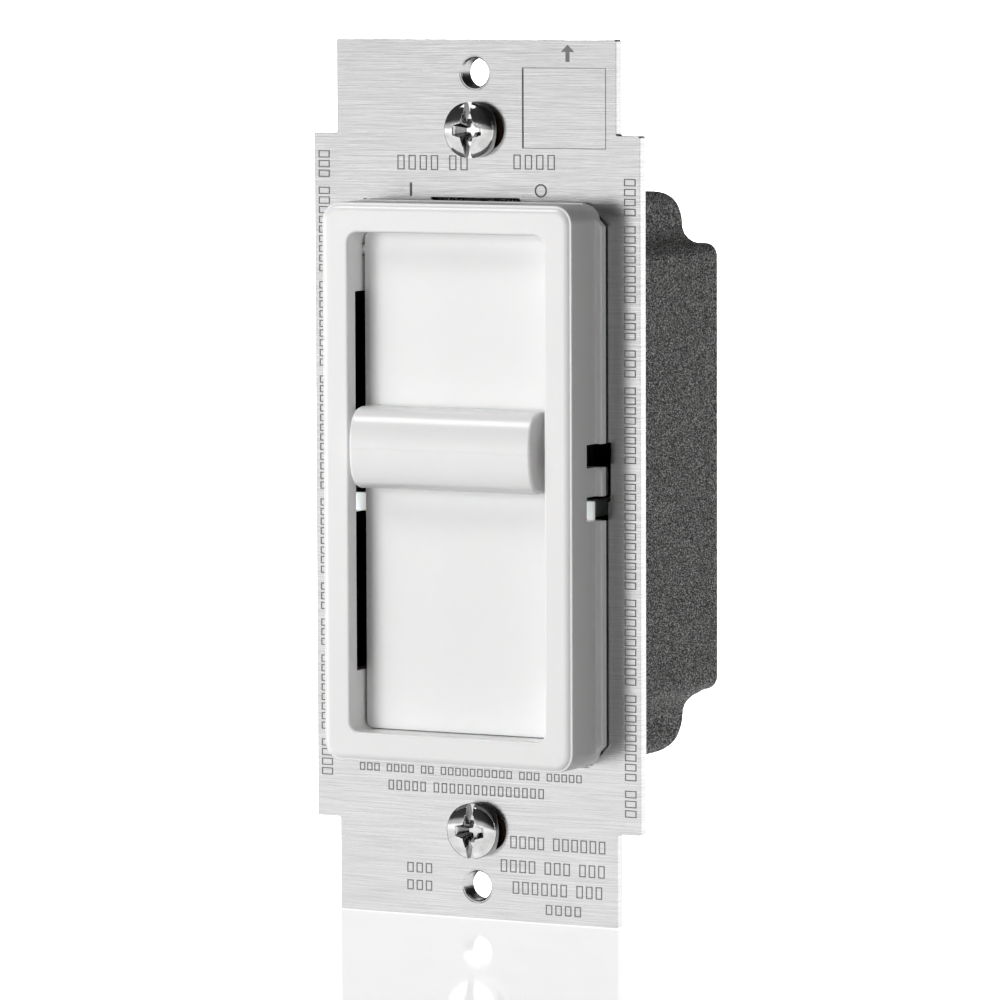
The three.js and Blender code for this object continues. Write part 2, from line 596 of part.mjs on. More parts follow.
function rearHousing() {
  const body = extrudedX(outline([
    [-2, -HOUSING.halfHeight], [HOUSING.back, -HOUSING.halfHeight, HOUSING.backCorner],
    [HOUSING.back, HOUSING.halfHeight, HOUSING.backCorner], [-2, HOUSING.halfHeight],
  ]), HOUSING.halfWidth, HOUSING_SIDE_ROUND);
  const topEar = extrudedX(earSection(), EAR.halfWidth, HOUSING_SIDE_ROUND);
  const bottomEar = topEar.clone().rotateY(Math.PI);
  const cavity = block([-CAVITY.halfWidth, CAVITY.halfWidth], [-1, CAVITY_BACK],
    [CAVITY.bottom, CAVITY.top]);
  const leverChannel = block([-LEVER_CHANNEL.halfWidth, LEVER_CHANNEL.halfWidth],
    [-1, LEVER_CHANNEL.depth], [CAVITY.top - 1, LEVER_CHANNEL.top]);
  const cuts = [centredBlock(60, [-10, 0], 60), cavity, leverChannel, ...wireExits()];
  for (const end of [-1, 1]) {
    for (const side of [-1, 1]) {
      cuts.push(rodY(side * HOUSING_SCREW.x, end * HOUSING_SCREW.z, HOUSING_SCREW.radius + 0.1,
        -1, HOUSING_SCREW.end + 0.5, 16));
      cuts.push(rodY(side * STAKE.x, end * STAKE.z, STAKE.radius + GAP, -1, STAKE.end + GAP, 16));
    }
  }
  const outside = [body, topEar, bottomEar].map((solid) => solid.translate(0, 0, HOUSING.middle));
  return shaped(outside, cuts);
}

// Three holes in the housing's back, where the leads come out.
function wireExits() {
  const through = [CAVITY_BACK - 1, HOUSING.back + 1];
  return [-1, 0, 1].map((i) => rodY(i * LEAD.spacing, LEAD.z, LEAD.holeRadius, ...through, 20));
}

function housingScrew(side, end) {
  const { x, z, headRadius, headHeight, radius, end: tip } = HOUSING_SCREW;
  const top = STRAP_FRONT - headHeight;
  const body = turned([
    [0, top], [headRadius - 0.5, top], [headRadius, top + 0.45], [headRadius, STRAP_FRONT],
    [radius, STRAP_FRONT], [radius, tip - 1], [0.3, tip], [0, tip],
  ], side * x, end * z, 20);
  const { halfLength, halfWidth, depth } = HOUSING_SCREW_CROSS;
  const arm = (halfX, halfZ) => block([side * x - halfX, side * x + halfX], [top - 1, top + depth],
    [end * z - halfZ, end * z + halfZ]);
  return shaped([body], [arm(halfLength, halfWidth), arm(halfWidth, halfLength)]);
}

// ---------------------------------------------------------------- circuit

function potentiometerBody() {
  const body = centredBlock(POT.halfWidth, [POT.front, BOARD.front], POT.halfHeight);
  const track = centredBlock(POT.trackHalfWidth, [POT.front - 1, POT.floor],
    POT.halfHeight - POT.endWall);
  return shaped([body], [track]);
}

function trackStrip(side) {
  const reach = POT.halfHeight - POT.endWall - TRACK.thickness;
  return sideBlock(side, [TRACK.inner, TRACK.outer], [POT.floor - TRACK.thickness, POT.floor],
    [-reach, reach]);
}

function pushSwitchBody() {
  const body = block([SWITCH.x0, SWITCH.x1], [SWITCH.front, BOARD.front], [SWITCH.z0, SWITCH.z1]);
  const pocket = rodY(PLUNGER.x, PLUNGER.z + 2.6, 0.9, SWITCH.front - 1, SWITCH.front + 0.6, 16);
  const bore = block([PLUNGER.x - 2, PLUNGER.x + 2], [SWITCH.front - 1, SWITCH.pocketEnd],
    [SWITCH.z0 - 1, PLUNGER.z + 2]);
  return shaped([body], [pocket, bore]);
}

function switchPlunger() {
  const { x, z, radius, front, end, collarRadius } = PLUNGER;
  return turned([
    [0, front], [radius - 0.3, front], [radius, front + 0.3], [radius, 0.6],
    [collarRadius - 0.6, 0.6], [collarRadius - 0.6, end], [0, end],
  ], x, z, 20);
}

// The plunger's return spring, drawn as short as it is when the pad is pressed home.
function switchSpring() {
  const start = PLUNGER.end + 0.25;
  class Coil extends THREE.Curve {
    getPoint(t) {
      const angle = 2 * Math.PI * SPRING.turns * t;
      return new THREE.Vector3(
        PLUNGER.x + SPRING.radius * Math.cos(angle),
        start + SPRING.length * t,
        PLUNGER.z + SPRING.radius * Math.sin(angle),
      );
    }
  }
  return wire(new Coil(), SPRING.wire, 30, 5);
}

function triac() {
  const { x, halfWidth, bodyBottom, bodyTop, tabTop, rivetZ } = TRIAC;
  const front = TRIAC_FRONT;
  const across = [x - halfWidth, x + halfWidth];
  const tab = block(across, [front, front + TRIAC_TAB], [bodyTop - 1, tabTop]);
  const body = block(across, [front, front + TRIAC_BODY], [bodyBottom, bodyTop]);
  const pins = [-1, 0, 1].flatMap((i) => {
    const middle = x + i * TRIAC_PIN.spacing;
    const width = [middle - TRIAC_PIN.halfWidth, middle + TRIAC_PIN.halfWidth];
    return [
      block(width, [TRIAC_PIN.front, TRIAC_PIN.back], [TRIAC_PIN.end, bodyBottom + 0.5]),
      block(width, [TRIAC_PIN.front, BOARD.front], [TRIAC_PIN.end, TRIAC_PIN.end + 0.5]),
    ];
  });
  return shaped([tab, body, ...pins], [rodY(x, rivetZ, RIVET.holeRadius, -1, 4, 20)]);
}

function triacInsulator() {
  const { x, halfWidth, bodyBottom, tabTop, rivetZ } = TRIAC;
  const sheet = block([x - halfWidth, x + halfWidth], [0, TRIAC_FRONT], [bodyBottom - 0.4, tabTop + 0.4]);
  return shaped([sheet], [rodY(x, rivetZ, RIVET.holeRadius, -1, 4, 20)]);
}

function triacRivet() {
  const shank = RIVET.holeRadius - RIVET.clearance;
  const neck = STRAP_FRONT + RIVET.sinkDepth - 0.05;
  const tail = TRIAC_FRONT + TRIAC_TAB;
  return turned([
    [0, STRAP_FRONT], [RIVET.headRadius, STRAP_FRONT], [shank, neck], [shank, tail],
    [RIVET.tailRadius, tail], [RIVET.tailRadius - 0.4, tail + 0.9], [0, tail + 0.9],
  ], TRIAC.x, TRIAC.rivetZ, 20);
}

const CHOKE = { x: -7.8, z: -13.5, ringRadius: 6.4, halfThickness: 2.2, halfHeight: 3.4 };
const CHOKE_WIRE = 0.45;
const CHOKE_Y = BOARD_BACK + CHOKE.halfHeight + 2 * CHOKE_WIRE + 0.35;

function chokeCore() {
  const profile = [];
  const steps = 14;
  for (let i = 0; i <= steps; i += 1) {
    const angle = (2 * Math.PI * i) / steps;
    profile.push([
      CHOKE.ringRadius + CHOKE.halfThickness * Math.cos(angle),
      CHOKE_Y + CHOKE.halfHeight * Math.sin(angle),
    ]);
  }
  return turned(profile, CHOKE.x, CHOKE.z, 28);
}

function chokeWinding() {
  const turns = 13;
  const sweep = 1.7 * Math.PI;
  const lift = CHOKE_WIRE + 0.15;
  class Winding extends THREE.Curve {
    getPoint(t) {
      const round = sweep * t;
      const wrap = 2 * Math.PI * turns * t;
      const radius = CHOKE.ringRadius + (CHOKE.halfThickness + lift) * Math.cos(wrap);
      return new THREE.Vector3(
        CHOKE.x + radius * Math.cos(round),
        CHOKE_Y + (CHOKE.halfHeight + lift) * Math.sin(wrap),
        CHOKE.z + radius * Math.sin(round),
      );
    }
  }
  return wire(new Winding(), CHOKE_WIRE, 12 * turns, 5);
}

// A dipped or boxed part that stands on the back of the board, with softly rounded corners.
function boardBlock([x0, x1], height, [z0, z1], corner = 0.8) {
  const shape = rectangle((x1 - x0) / 2, (z1 - z0) / 2, corner);
  const body = extrudedY(shape, BOARD_BACK, BOARD_BACK + height, 3);
  return body.translate((x0 + x1) / 2, 0, (z0 + z1) / 2);
}

// A wire-ended part that lies on the back of the board along X.
function axialPart(x, z, bodyRadius, bodyHalf, leadHalf) {
  const lift = BOARD_BACK + bodyRadius + 0.3;
  const leadRadius = 0.3;
  const legs = bothSides((side) => rodY(x + side * leadHalf, z, leadRadius, BOARD_BACK, lift, 8));
  return shaped([
    rodX(lift, z, bodyRadius, x - bodyHalf, x + bodyHalf, 16),
    rodX(lift, z, leadRadius, x - leadHalf - leadRadius, x + leadHalf + leadRadius, 8),
    ...legs,
  ]);
}

function trimPotentiometer() {
  const x = 13;
  const z = 4;
  const base = boardBlock([x - 3.3, x + 3.3], 3.4, [z - 3.3, z + 3.3], 0.4);
  const dial = rodY(x, z, 2.2, BOARD_BACK + 3, BOARD_BACK + 4.2, 20);
  const slot = block([x - 1.7, x + 1.7], [BOARD_BACK + 3.6, BOARD_BACK + 5], [z - 0.35, z + 0.35]);
  return shaped([base, dial], [slot]);
}

function locatorLamp(side) {
  const x = side * (PIPE.inner + PIPE.outer) / 2;
  const z = (PIPE.bottom + PIPE.top) / 2;
  return turned([
    [0, PIPE.end + 0.3], [0.7, PIPE.end + 0.5], [1.0, PIPE.end + 1.1], [1.0, 7.4],
    [1.25, 7.4], [1.25, BOARD.front], [0, BOARD.front],
  ], x, z, 20);
}

function leadTerminal(i) {
  const x = i * LEAD.spacing;
  const base = BOARD_BACK;
  return turned([
    [0, base], [1.9, base], [1.9, base + 0.8], [1.2, base + 1.2], [1.2, base + 5], [0.8, base + 5.4],
    [0, base + 5.4],
  ], x, LEAD.z, 20);
}

// ---------------------------------------------------------------- assembly

add("mounting_strap", mountingStrap(), brushedAluminium);
add("mounting_screw_top", mountingScrew(MOUNT_SCREW_Z), chrome);
add("mounting_screw_bottom", mountingScrew(-MOUNT_SCREW_Z), chrome);
add("screw_retainer_top", screwRetainer(MOUNT_SCREW_Z), fibre);
add("screw_retainer_bottom", screwRetainer(-MOUNT_SCREW_Z), fibre);
add("ground_lug", groundLug(), tinned);

add("bezel_frame", bezelFrame(), whitePlastic);
add("push_pad", pushPad(), whitePlastic);
add("slide_bar", slideBar(), whitePlastic);
add("slide_carriage", slideCarriage(), blackPlastic);
add("wiper_contact", wiperContact(), bronze);
add("insulating_sheet", insulatingSheet(), blackPlastic);
add("light_selector_lever", lightSelectorLever(), whitePlastic);
add("light_selector_contact", lightSelectorContact(), bronze);

add("rear_housing", rearHousing(), darkPlastic);
for (const [corner, side, end] of [
  ["top_left", -1, 1], ["top_right", 1, 1], ["bottom_left", -1, -1], ["bottom_right", 1, -1],
]) {
  add(`housing_screw_${corner}`, housingScrew(side, end), steel);
}

add("circuit_board", centredBlock(BOARD.halfWidth, [BOARD.front, BOARD_BACK], BOARD.halfHeight),
  boardLaminate);
add("potentiometer_body", potentiometerBody(), blackPlastic);
add("resistive_strip", trackStrip(-1), carbon);
add("collector_strip", trackStrip(1), tinned);
add("push_switch_body", pushSwitchBody(), blackPlastic);
add("switch_plunger", switchPlunger(), whitePlastic);
add("switch_spring", switchSpring(), steel);
add("triac", triac(), blackPlastic);
add("triac_insulator", triacInsulator(), grayPad);
add("triac_rivet", triacRivet(), steel);
add("choke_core", chokeCore(), ferrite);
add("choke_winding", chokeWinding(), copperEnamel);
add("film_capacitor", boardBlock([2.2, 16.2], 8.5, [-20.5, -12.5]), capacitorCase);
add("timing_capacitor", boardBlock([8.5, 15.5], 5.5, [-8, -4.8]), blueCase);
add("timing_resistor", axialPart(-9, 3.6, 1.2, 3.2, 5.2), resistorBody);
add("lamp_resistor", axialPart(-9, 8.6, 0.9, 2.2, 4.2), resistorBody);
add("diac", axialPart(0.5, -4.5, 0.9, 2.0, 3.8), glassRed);
add("trim_potentiometer", trimPotentiometer(), blueCase);
for (const [name, side] of [["left", -1], ["right", 1]]) {
  add(`light_pipe_${name}`, sideBlock(side, [PIPE.inner, PIPE.outer], [PIPE.front, PIPE.end],
    [PIPE.bottom, PIPE.top]), clearPlastic);
  add(`locator_lamp_${name}`, locatorLamp(side), lampLens);
}
["load", "line", "traveller"].forEach((name, i) => {
  add(`lead_terminal_${name}`, leadTerminal(i - 1), tinned);
});

export default dimmer;
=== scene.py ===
# The looks of a slide dimmer for a wall box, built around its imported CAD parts.
# Metres. X is to the right, Y is into the wall and Z is up, as in the CAD frame.

import math

import bmesh
import bpy
from mathutils import Matrix, Vector
from mathutils.geometry import interpolate_bezier


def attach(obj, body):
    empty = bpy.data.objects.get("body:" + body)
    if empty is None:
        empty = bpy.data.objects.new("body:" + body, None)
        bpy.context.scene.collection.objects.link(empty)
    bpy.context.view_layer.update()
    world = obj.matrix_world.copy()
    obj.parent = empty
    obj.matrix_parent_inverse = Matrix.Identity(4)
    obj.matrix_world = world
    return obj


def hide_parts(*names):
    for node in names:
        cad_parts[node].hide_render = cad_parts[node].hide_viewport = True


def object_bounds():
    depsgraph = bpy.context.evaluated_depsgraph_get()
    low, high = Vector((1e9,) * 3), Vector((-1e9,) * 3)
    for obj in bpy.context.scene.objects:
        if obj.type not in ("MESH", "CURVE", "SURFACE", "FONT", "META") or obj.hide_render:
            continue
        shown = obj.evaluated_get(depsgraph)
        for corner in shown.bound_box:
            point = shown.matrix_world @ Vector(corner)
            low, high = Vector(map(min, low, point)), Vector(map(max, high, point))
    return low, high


MM = 0.001

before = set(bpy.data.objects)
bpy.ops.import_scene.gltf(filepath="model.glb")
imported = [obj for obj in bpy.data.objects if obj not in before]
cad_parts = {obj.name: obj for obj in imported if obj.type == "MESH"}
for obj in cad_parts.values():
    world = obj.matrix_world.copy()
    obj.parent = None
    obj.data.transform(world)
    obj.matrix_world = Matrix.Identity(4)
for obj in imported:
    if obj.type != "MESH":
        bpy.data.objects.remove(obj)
cad_low, cad_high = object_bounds()


def placed(name, data):
    """A new object of the data, linked to the scene."""
    obj = bpy.data.objects.new(name, data)
    bpy.context.scene.collection.objects.link(obj)
    return obj


# ---- node helper

class Nodes:
    """A short way to add and join the nodes of a new material or world."""

    def __init__(self, name, kind=bpy.data.materials):
        self.owner = kind.new(name)
        self.owner.use_nodes = True
        self.tree = self.owner.node_tree

    def add(self, kind, inputs=None, **settings):
        """A new node with its settings, and its inputs as values or sockets."""
        node = self.tree.nodes.new(kind)
        for key, value in settings.items():
            setattr(node, key, value)
        for key, value in (inputs or {}).items():
            self.feed(node.inputs[key], value)
        return node

    def feed(self, socket, value):
        """Links a socket to the input, or sets its value."""
        if isinstance(value, bpy.types.NodeSocket):
            self.tree.links.new(value, socket)
        else:
            socket.default_value = value

    def place(self, scale=(1, 1, 1)):
        """The object's own coordinates, in metres, stretched by scale."""
        where = self.add("ShaderNodeTexCoord").outputs["Object"]
        return self.add("ShaderNodeMapping", {"Vector": where, "Scale": scale}).outputs["Vector"]

    def noise(self, where, scale, detail=2.0, roughness=0.5):
        return self.add("ShaderNodeTexNoise", {"Vector": where, "Scale": scale, "Detail": detail,
                                               "Roughness": roughness}).outputs["Fac"]

    def ramp(self, factor, low, high):
        """Maps a 0 to 1 factor linearly onto low to high."""
        return self.add("ShaderNodeMapRange", {"Value": factor, "To Min": low, "To Max": high}
                        ).outputs["Result"]

    def stretch(self, factor, start, end):
        """Widens the part of a factor between start and end to 0 to 1."""
        return self.add("ShaderNodeMapRange", {"Value": factor, "From Min": start, "From Max": end}
                        ).outputs["Result"]

    def mix(self, factor, first, second):
        node = self.add("ShaderNodeMix", data_type="RGBA")
        self.feed(node.inputs["Factor"], factor)
        self.feed(node.inputs["A"], first)
        self.feed(node.inputs["B"], second)
        return node.outputs["Result"]

    def combine(self, operation, first, second):
        """One number worked out from two others."""
        return self.add("ShaderNodeMath", {0: first, 1: second}, operation=operation).outputs["Value"]

    def bump(self, height, distance, strength):
        """A normal from a height in metres, at a strength from 0 to 1."""
        return self.add("ShaderNodeBump", {"Height": height, "Distance": distance, "Strength": strength}
                        ).outputs["Normal"]

    def finish(self, color, roughness, normal=None, metallic=0.0, **others):
        """Feeds the shader. The others are its further inputs, with _ for each space."""
        inputs = self.tree.nodes["Principled BSDF"].inputs
        self.feed(inputs["Base Color"], color)
        self.feed(inputs["Roughness"], roughness)
        self.feed(inputs["Metallic"], metallic)
        if normal:
            self.feed(inputs["Normal"], normal)
        for key, value in others.items():
            self.feed(inputs[key.replace("_", " ")], value)
        return self.owner


def shade(value, warmth=0.0):
    """A grey, a little redder than it is blue by its warmth."""
    return (value * (1 + warmth), value, value * (1 - warmth), 1.0)


# ---- camera, floor and light

# Angles in degrees, lengths in millimetres. The camera looks at the target from the given direction,
# and is then moved right and up without turning.
CAMERA = {"azimuth": 27.28, "elevation": 4.9, "roll": -0.19, "distance": 771.3, "lens": 234.0,
          "sensor": 36.0, "target": (0.0, -1.5, 0.0), "right": 2.82, "up": -2.2}
CAMERA_CLIP = (0.05, 30.0)

# The floor's lengths are in metres. Its patch reaches from under the object toward the camera.
FLOOR = {"half": 60.0, "below": 0.05 * MM, "glow": 2.1, "tone": 0.3, "roughness": 0.06}
# It is full within a part of its half width and depth, and from a little in front of its rear edge.
PATCH = {"half": 0.03, "deep": 0.16, "behind": 0.012, "glow": 0.74, "full": 0.6, "full_from": -0.009}

# Azimuth and elevation in degrees, size in metres and power in watts. The key isn't seen in gloss.
LIGHT_DISTANCE = 1.0
LIGHTS = {
    "key": {"azimuth": -27, "elevation": 7, "size": (0.4, 0.4), "power": 4.8, "glossy": False},
    "corner": {"azimuth": -36, "elevation": 46, "size": (0.5, 0.3), "power": 3.0, "glossy": True},
    "side": {"azimuth": 76, "elevation": 4, "size": (0.03, 0.8), "power": 1.2, "glossy": True},
}

# The room's brightness along one axis of the direction looked in: (component, brightness).
ROOM_ACROSS = ((-0.9, 0.6), (-0.2, 0.55), (0.3, 0.25), (0.9, 0.1))
ROOM_BEHIND = ((0.5, 0.0), (0.75, 1.6))
ROOM_LOW = ((0.12, 1.0), (0.3, 0.06))
ROOM_UPWARD = ((-0.9, 0.5), (-0.12, 0.9), (-0.03, 2.6), (0.07, 2.6), (0.14, 0.2), (0.9, 0.1))


def make_camera():
    """The camera, turned by its azimuth, elevation and roll."""
    azimuth, elevation, roll = (math.radians(CAMERA[k]) for k in ("azimuth", "elevation", "roll"))
    back = Vector((math.sin(azimuth) * math.cos(elevation), -math.cos(azimuth) * math.cos(elevation),
                   math.sin(elevation)))
    level = Vector((math.cos(azimuth), math.sin(azimuth), 0.0))
    upright = back.cross(level)
    right = level * math.cos(roll) + upright * math.sin(roll)
    up = upright * math.cos(roll) - level * math.sin(roll)
    place = (Vector(CAMERA["target"]) + back * CAMERA["distance"] + right * CAMERA["right"]
             + up * CAMERA["up"]) * MM
    data = bpy.data.cameras.new("camera")
    data.lens = CAMERA["lens"]
    data.sensor_width = CAMERA["sensor"]
    data.clip_start, data.clip_end = CAMERA_CLIP
    camera = placed("camera", data)
    camera.matrix_world = Matrix.Translation(place) @ Matrix((right, up, back)).transposed().to_4x4()
    bpy.context.scene.camera = camera


def area_light(name):
    """A soft box aimed at the object's middle, from its direction in LIGHTS."""
    setting = LIGHTS[name]
    a, e = math.radians(setting["azimuth"]), math.radians(setting["elevation"])
    away = Vector((math.sin(a) * math.cos(e), -math.cos(a) * math.cos(e), math.sin(e)))
    data = bpy.data.lights.new(name, "AREA")
    data.energy = setting["power"]
    data.shape = "RECTANGLE"
    data.size, data.size_y = setting["size"]
    light = placed(name, data)
    light.location = away * LIGHT_DISTANCE
    light.visible_glossy = setting["glossy"]
    light.rotation_mode = "QUATERNION"
    light.rotation_quaternion = away.to_track_quat("Z", "Y")


def floor_material(n, glow):
    """A pale, faintly glossy floor that glows like a bright backdrop."""
    return n.finish(shade(FLOOR["tone"]), FLOOR["roughness"], Emission_Color=shade(1.0),
                    Emission_Strength=glow)


def patch_glow(n, across, nearer):
    """The patch's brightness: less than the rest's to the camera, so that it shows the object's
    reflection, and rising to the rest's toward its rim."""
    position = n.add("ShaderNodeNewGeometry").outputs["Position"]

    def fade(direction, start, end, absolute=False):
        """Rises smoothly from 0 to 1 between two places along a direction."""
        value = n.add("ShaderNodeVectorMath", {0: position, 1: direction},
                      operation="DOT_PRODUCT").outputs["Value"]
        if absolute:
            value = n.add("ShaderNodeMath", {0: value}, operation="ABSOLUTE").outputs["Value"]
        return n.add("ShaderNodeMapRange", {"Value": value, "From Min": start, "From Max": end},
                     interpolation_type="SMOOTHSTEP").outputs["Result"]

    share = fade(across, PATCH["half"], PATCH["full"] * PATCH["half"], absolute=True)
    for factor in (fade(nearer, PATCH["deep"], PATCH["full"] * PATCH["deep"]),
                   fade(nearer, -PATCH["behind"], PATCH["full_from"]),
                   n.add("ShaderNodeLightPath").outputs["Is Camera Ray"]):
        share = n.combine("MULTIPLY", share, factor)
    return n.ramp(share, FLOOR["glow"], PATCH["glow"])


def make_stage():
    """A very bright floor, with a less bright patch under the object and in front of it."""
    half, side_reach, behind = FLOOR["half"], PATCH["half"], -PATCH["behind"]
    z = cad_low.z
    azimuth = math.radians(CAMERA["azimuth"])
    across = Vector((math.cos(azimuth), math.sin(azimuth), 0.0))
    nearer = Vector((math.sin(azimuth), -math.cos(azimuth), 0.0))
    mesh = bpy.data.meshes.new("floor")
    verts = [Vector((x, y, z - FLOOR["below"]))
             for x, y in ((-half, -half), (half, -half), (half, half), (-half, half))]
    verts += [across * side * side_reach + nearer * reach + Vector((0, 0, z))
              for side, reach in ((-1, PATCH["deep"]), (1, PATCH["deep"]), (1, behind), (-1, behind))]
    mesh.from_pydata(verts, [], [(0, 1, 2, 3), (4, 5, 6, 7)])
    mesh.materials.append(floor_material(Nodes("studio_floor"), FLOOR["glow"]))
    patch = Nodes("studio_floor_patch")
    mesh.materials.append(floor_material(patch, patch_glow(patch, across, nearer)))
    mesh.polygons[1].material_index = 1
    floor = placed("floor", mesh)
    floor.visible_diffuse = False
    make_world()
    bpy.context.scene.view_settings.view_transform = "Standard"
    for name in LIGHTS:
        area_light(name)


def make_world():
    """A soft room: a bright band at the horizon, brighter on the left than on the right, a bright
    backdrop behind the object and little light from above. Directions are those looked in."""
    n = Nodes("studio", bpy.data.worlds)
    view = n.add("ShaderNodeTexCoord").outputs["Generated"]
    split = n.add("ShaderNodeSeparateXYZ", {"Vector": view})

    def level(axis, stops):
        """The brightness along one axis of the direction."""
        fraction = n.add("ShaderNodeMapRange", {"Value": split.outputs[axis], "From Min": -1.0})
        node = n.add("ShaderNodeValToRGB", {"Fac": fraction.outputs["Result"]})
        elements = node.color_ramp.elements
        while len(elements) < len(stops):
            elements.new(0.5)
        for element, (place, value) in zip(elements, stops):
            element.position = (place + 1) / 2
            element.color = shade(value)
        return node.outputs["Color"]

    front = n.combine("MULTIPLY", level("X", ROOM_ACROSS), level("Z", ROOM_UPWARD))
    rear = n.combine("MULTIPLY", level("Y", ROOM_BEHIND), level("Z", ROOM_LOW))
    background = n.tree.nodes["Background"]
    n.feed(background.inputs["Color"], shade(1.0))
    n.feed(background.inputs["Strength"], n.combine("MAXIMUM", front, rear))
    bpy.context.scene.world = n.owner


# ---- materials

def brushed_aluminium():
    """Aluminium brushed along X: long streaks, finer scratches between them and faint broad clouds."""
    n = Nodes("brushed_aluminium")
    streaks = n.noise(n.place((110, 110, 9000)), 1.0, 3.0, 0.6)
    fine = n.noise(n.place((300, 300, 19000)), 1.0, 2.0, 0.6)
    clouds = n.noise(n.place(), 70.0, 3.0)
    color = n.mix(n.stretch(streaks, 0.3, 0.7), shade(0.23), shade(0.37))
    color = n.mix(n.ramp(clouds, 0.1, 0.6), color, shade(0.31))
    roughness = n.ramp(fine, 0.11, 0.22)
    height = n.combine("ADD", streaks, fine)
    return n.finish(color, roughness, n.bump(height, 0.00002, 0.28), 1.0, Anisotropic=0.7,
                    Anisotropic_Rotation=0.25)


def gloss_white():
    """Glossy white plastic with a slight orange peel and a tone that wanders a little."""
    n = Nodes("gloss_white")
    patches = n.noise(n.place(), 90.0, 3.0)
    peel = n.noise(n.place(), 900.0, 2.0)
    specks = n.noise(n.place(), 2600.0, 2.0)
    color = n.mix(n.ramp(patches, 0.0, 1.0), shade(0.86, 0.004), shade(0.9, 0.002))
    both = n.combine("MULTIPLY", peel, specks)
    return n.finish(color, n.ramp(both, 0.18, 0.36), n.bump(peel, 0.000012, 0.5), Subsurface_Weight=0.05,
                    Subsurface_Scale=0.002, Specular_IOR_Level=0.65)


def grained_housing():
    """Dark moulded plastic with a coarse grain of pale, raised flecks on a nearly black ground."""
    n = Nodes("grained_housing")
    grain = n.noise(n.place((5600, 4000, 6800)), 1.0, 2.0, 0.7)
    cells = n.add("ShaderNodeTexVoronoi", {"Vector": n.place((1.0, 0.8, 1.25)), "Scale": 5200.0})
    coarse = n.noise(n.place(), 170.0, 4.0, 0.6)
    flecks = cells.outputs["Distance"]
    mottle = n.combine("MULTIPLY", n.stretch(grain, 0.47, 0.58), n.stretch(flecks, 0.15, 0.5))
    color = n.mix(mottle, shade(0.004, 0.03), shade(0.5, 0.03))
    color = n.mix(n.ramp(coarse, -0.45, 0.3), color, shade(0.03, 0.03))
    return n.finish(color, n.ramp(mottle, 0.85, 0.34), n.bump(mottle, 0.0003, 0.8), Specular_IOR_Level=0.26)


def plated_screw():
    """Bright plating with slight wear."""
    n = Nodes("plated_screw")
    wear = n.noise(n.place(), 700.0, 4.0)
    fine = n.noise(n.place(), 5000.0, 2.0)
    color = n.mix(n.stretch(wear, 0.35, 0.75), shade(0.35), shade(0.25, 0.01))
    return n.finish(color, n.ramp(fine, 0.04, 0.16), n.bump(wear, 0.00001, 0.4), 1.0)


def plain_metal(name, tone, low, high):
    """Rolled or tinned metal: fine scuffs and a slightly uneven tone."""
    n = Nodes(name)
    scuffs = n.noise(n.place((1, 1, 4)), 900.0, 3.0)
    darker = tuple(0.72 * c for c in tone[:3]) + (1.0,)
    color = n.mix(n.stretch(scuffs, 0.3, 0.7), darker, tone)
    return n.finish(color, n.ramp(scuffs, low, high), n.bump(scuffs, 0.00001, 0.5), 1.0)


def plain_plastic(name, tone, low, high, grain=2500.0, depth=0.00002, **constants):
    """Moulded or dipped plastic: a fine grain and a slightly uneven tone."""
    n = Nodes(name)
    fine = n.noise(n.place(), grain, 3.0)
    broad = n.noise(n.place(), 200.0, 3.0)
    lighter = tuple(min(1.0, 1.35 * c) for c in tone[:3]) + (1.0,)
    color = n.mix(n.ramp(broad, 0.0, 0.8), tone, lighter)
    return n.finish(color, n.ramp(fine, low, high), n.bump(fine, depth, 0.6), **constants)


def board_laminate():
    """Circuit board laminate: a fine weave under brown blotches."""
    n = Nodes("board_laminate")
    weave = n.add("ShaderNodeTexWave", {"Vector": n.place(), "Scale": 900.0, "Distortion": 1.5})
    blotch = n.noise(n.place(), 240.0, 3.0)
    color = n.mix(weave.outputs["Fac"], (0.34, 0.22, 0.08, 1), (0.42, 0.30, 0.13, 1))
    color = n.mix(n.ramp(blotch, 0.0, 0.4), color, (0.24, 0.15, 0.06, 1))
    return n.finish(color, n.ramp(blotch, 0.4, 0.65), n.bump(weave.outputs["Fac"], 0.00001, 0.5))


def vulcanised_fibre():
    """Dull red-brown fibre board."""
    n = Nodes("vulcanised_fibre")
    fibres = n.noise(n.place((600, 600, 3000)), 1.0, 4.0, 0.65)
    color = n.mix(n.stretch(fibres, 0.3, 0.7), (0.11, 0.05, 0.025, 1), (0.2, 0.1, 0.05, 1))
    return n.finish(color, n.ramp(fibres, 0.7, 0.9), n.bump(fibres, 0.00005, 0.7))


def enamelled_copper():
    """Copper wire under a thin red-brown enamel."""
    n = Nodes("enamelled_copper")
    tone = n.noise(n.place(), 1500.0, 3.0)
    color = n.mix(n.stretch(tone, 0.3, 0.7), (0.30, 0.09, 0.035, 1), (0.48, 0.17, 0.07, 1))
    return n.finish(color, n.ramp(tone, 0.18, 0.36), n.bump(tone, 0.00001, 0.4), 0.6)


def milky_clear(name, **glow):
    """Cloudy white plastic that lets light through. A glow, where one is given, is painted light."""
    n = Nodes(name)
    haze = n.noise(n.place(), 1200.0, 3.0)
    color = n.mix(haze, shade(0.86), shade(0.95))
    return n.finish(color, n.ramp(haze, 0.2, 0.38), n.bump(haze, 0.00002, 0.5), Subsurface_Weight=0.4,
                    Subsurface_Scale=0.003, **glow)


# ---- sizes

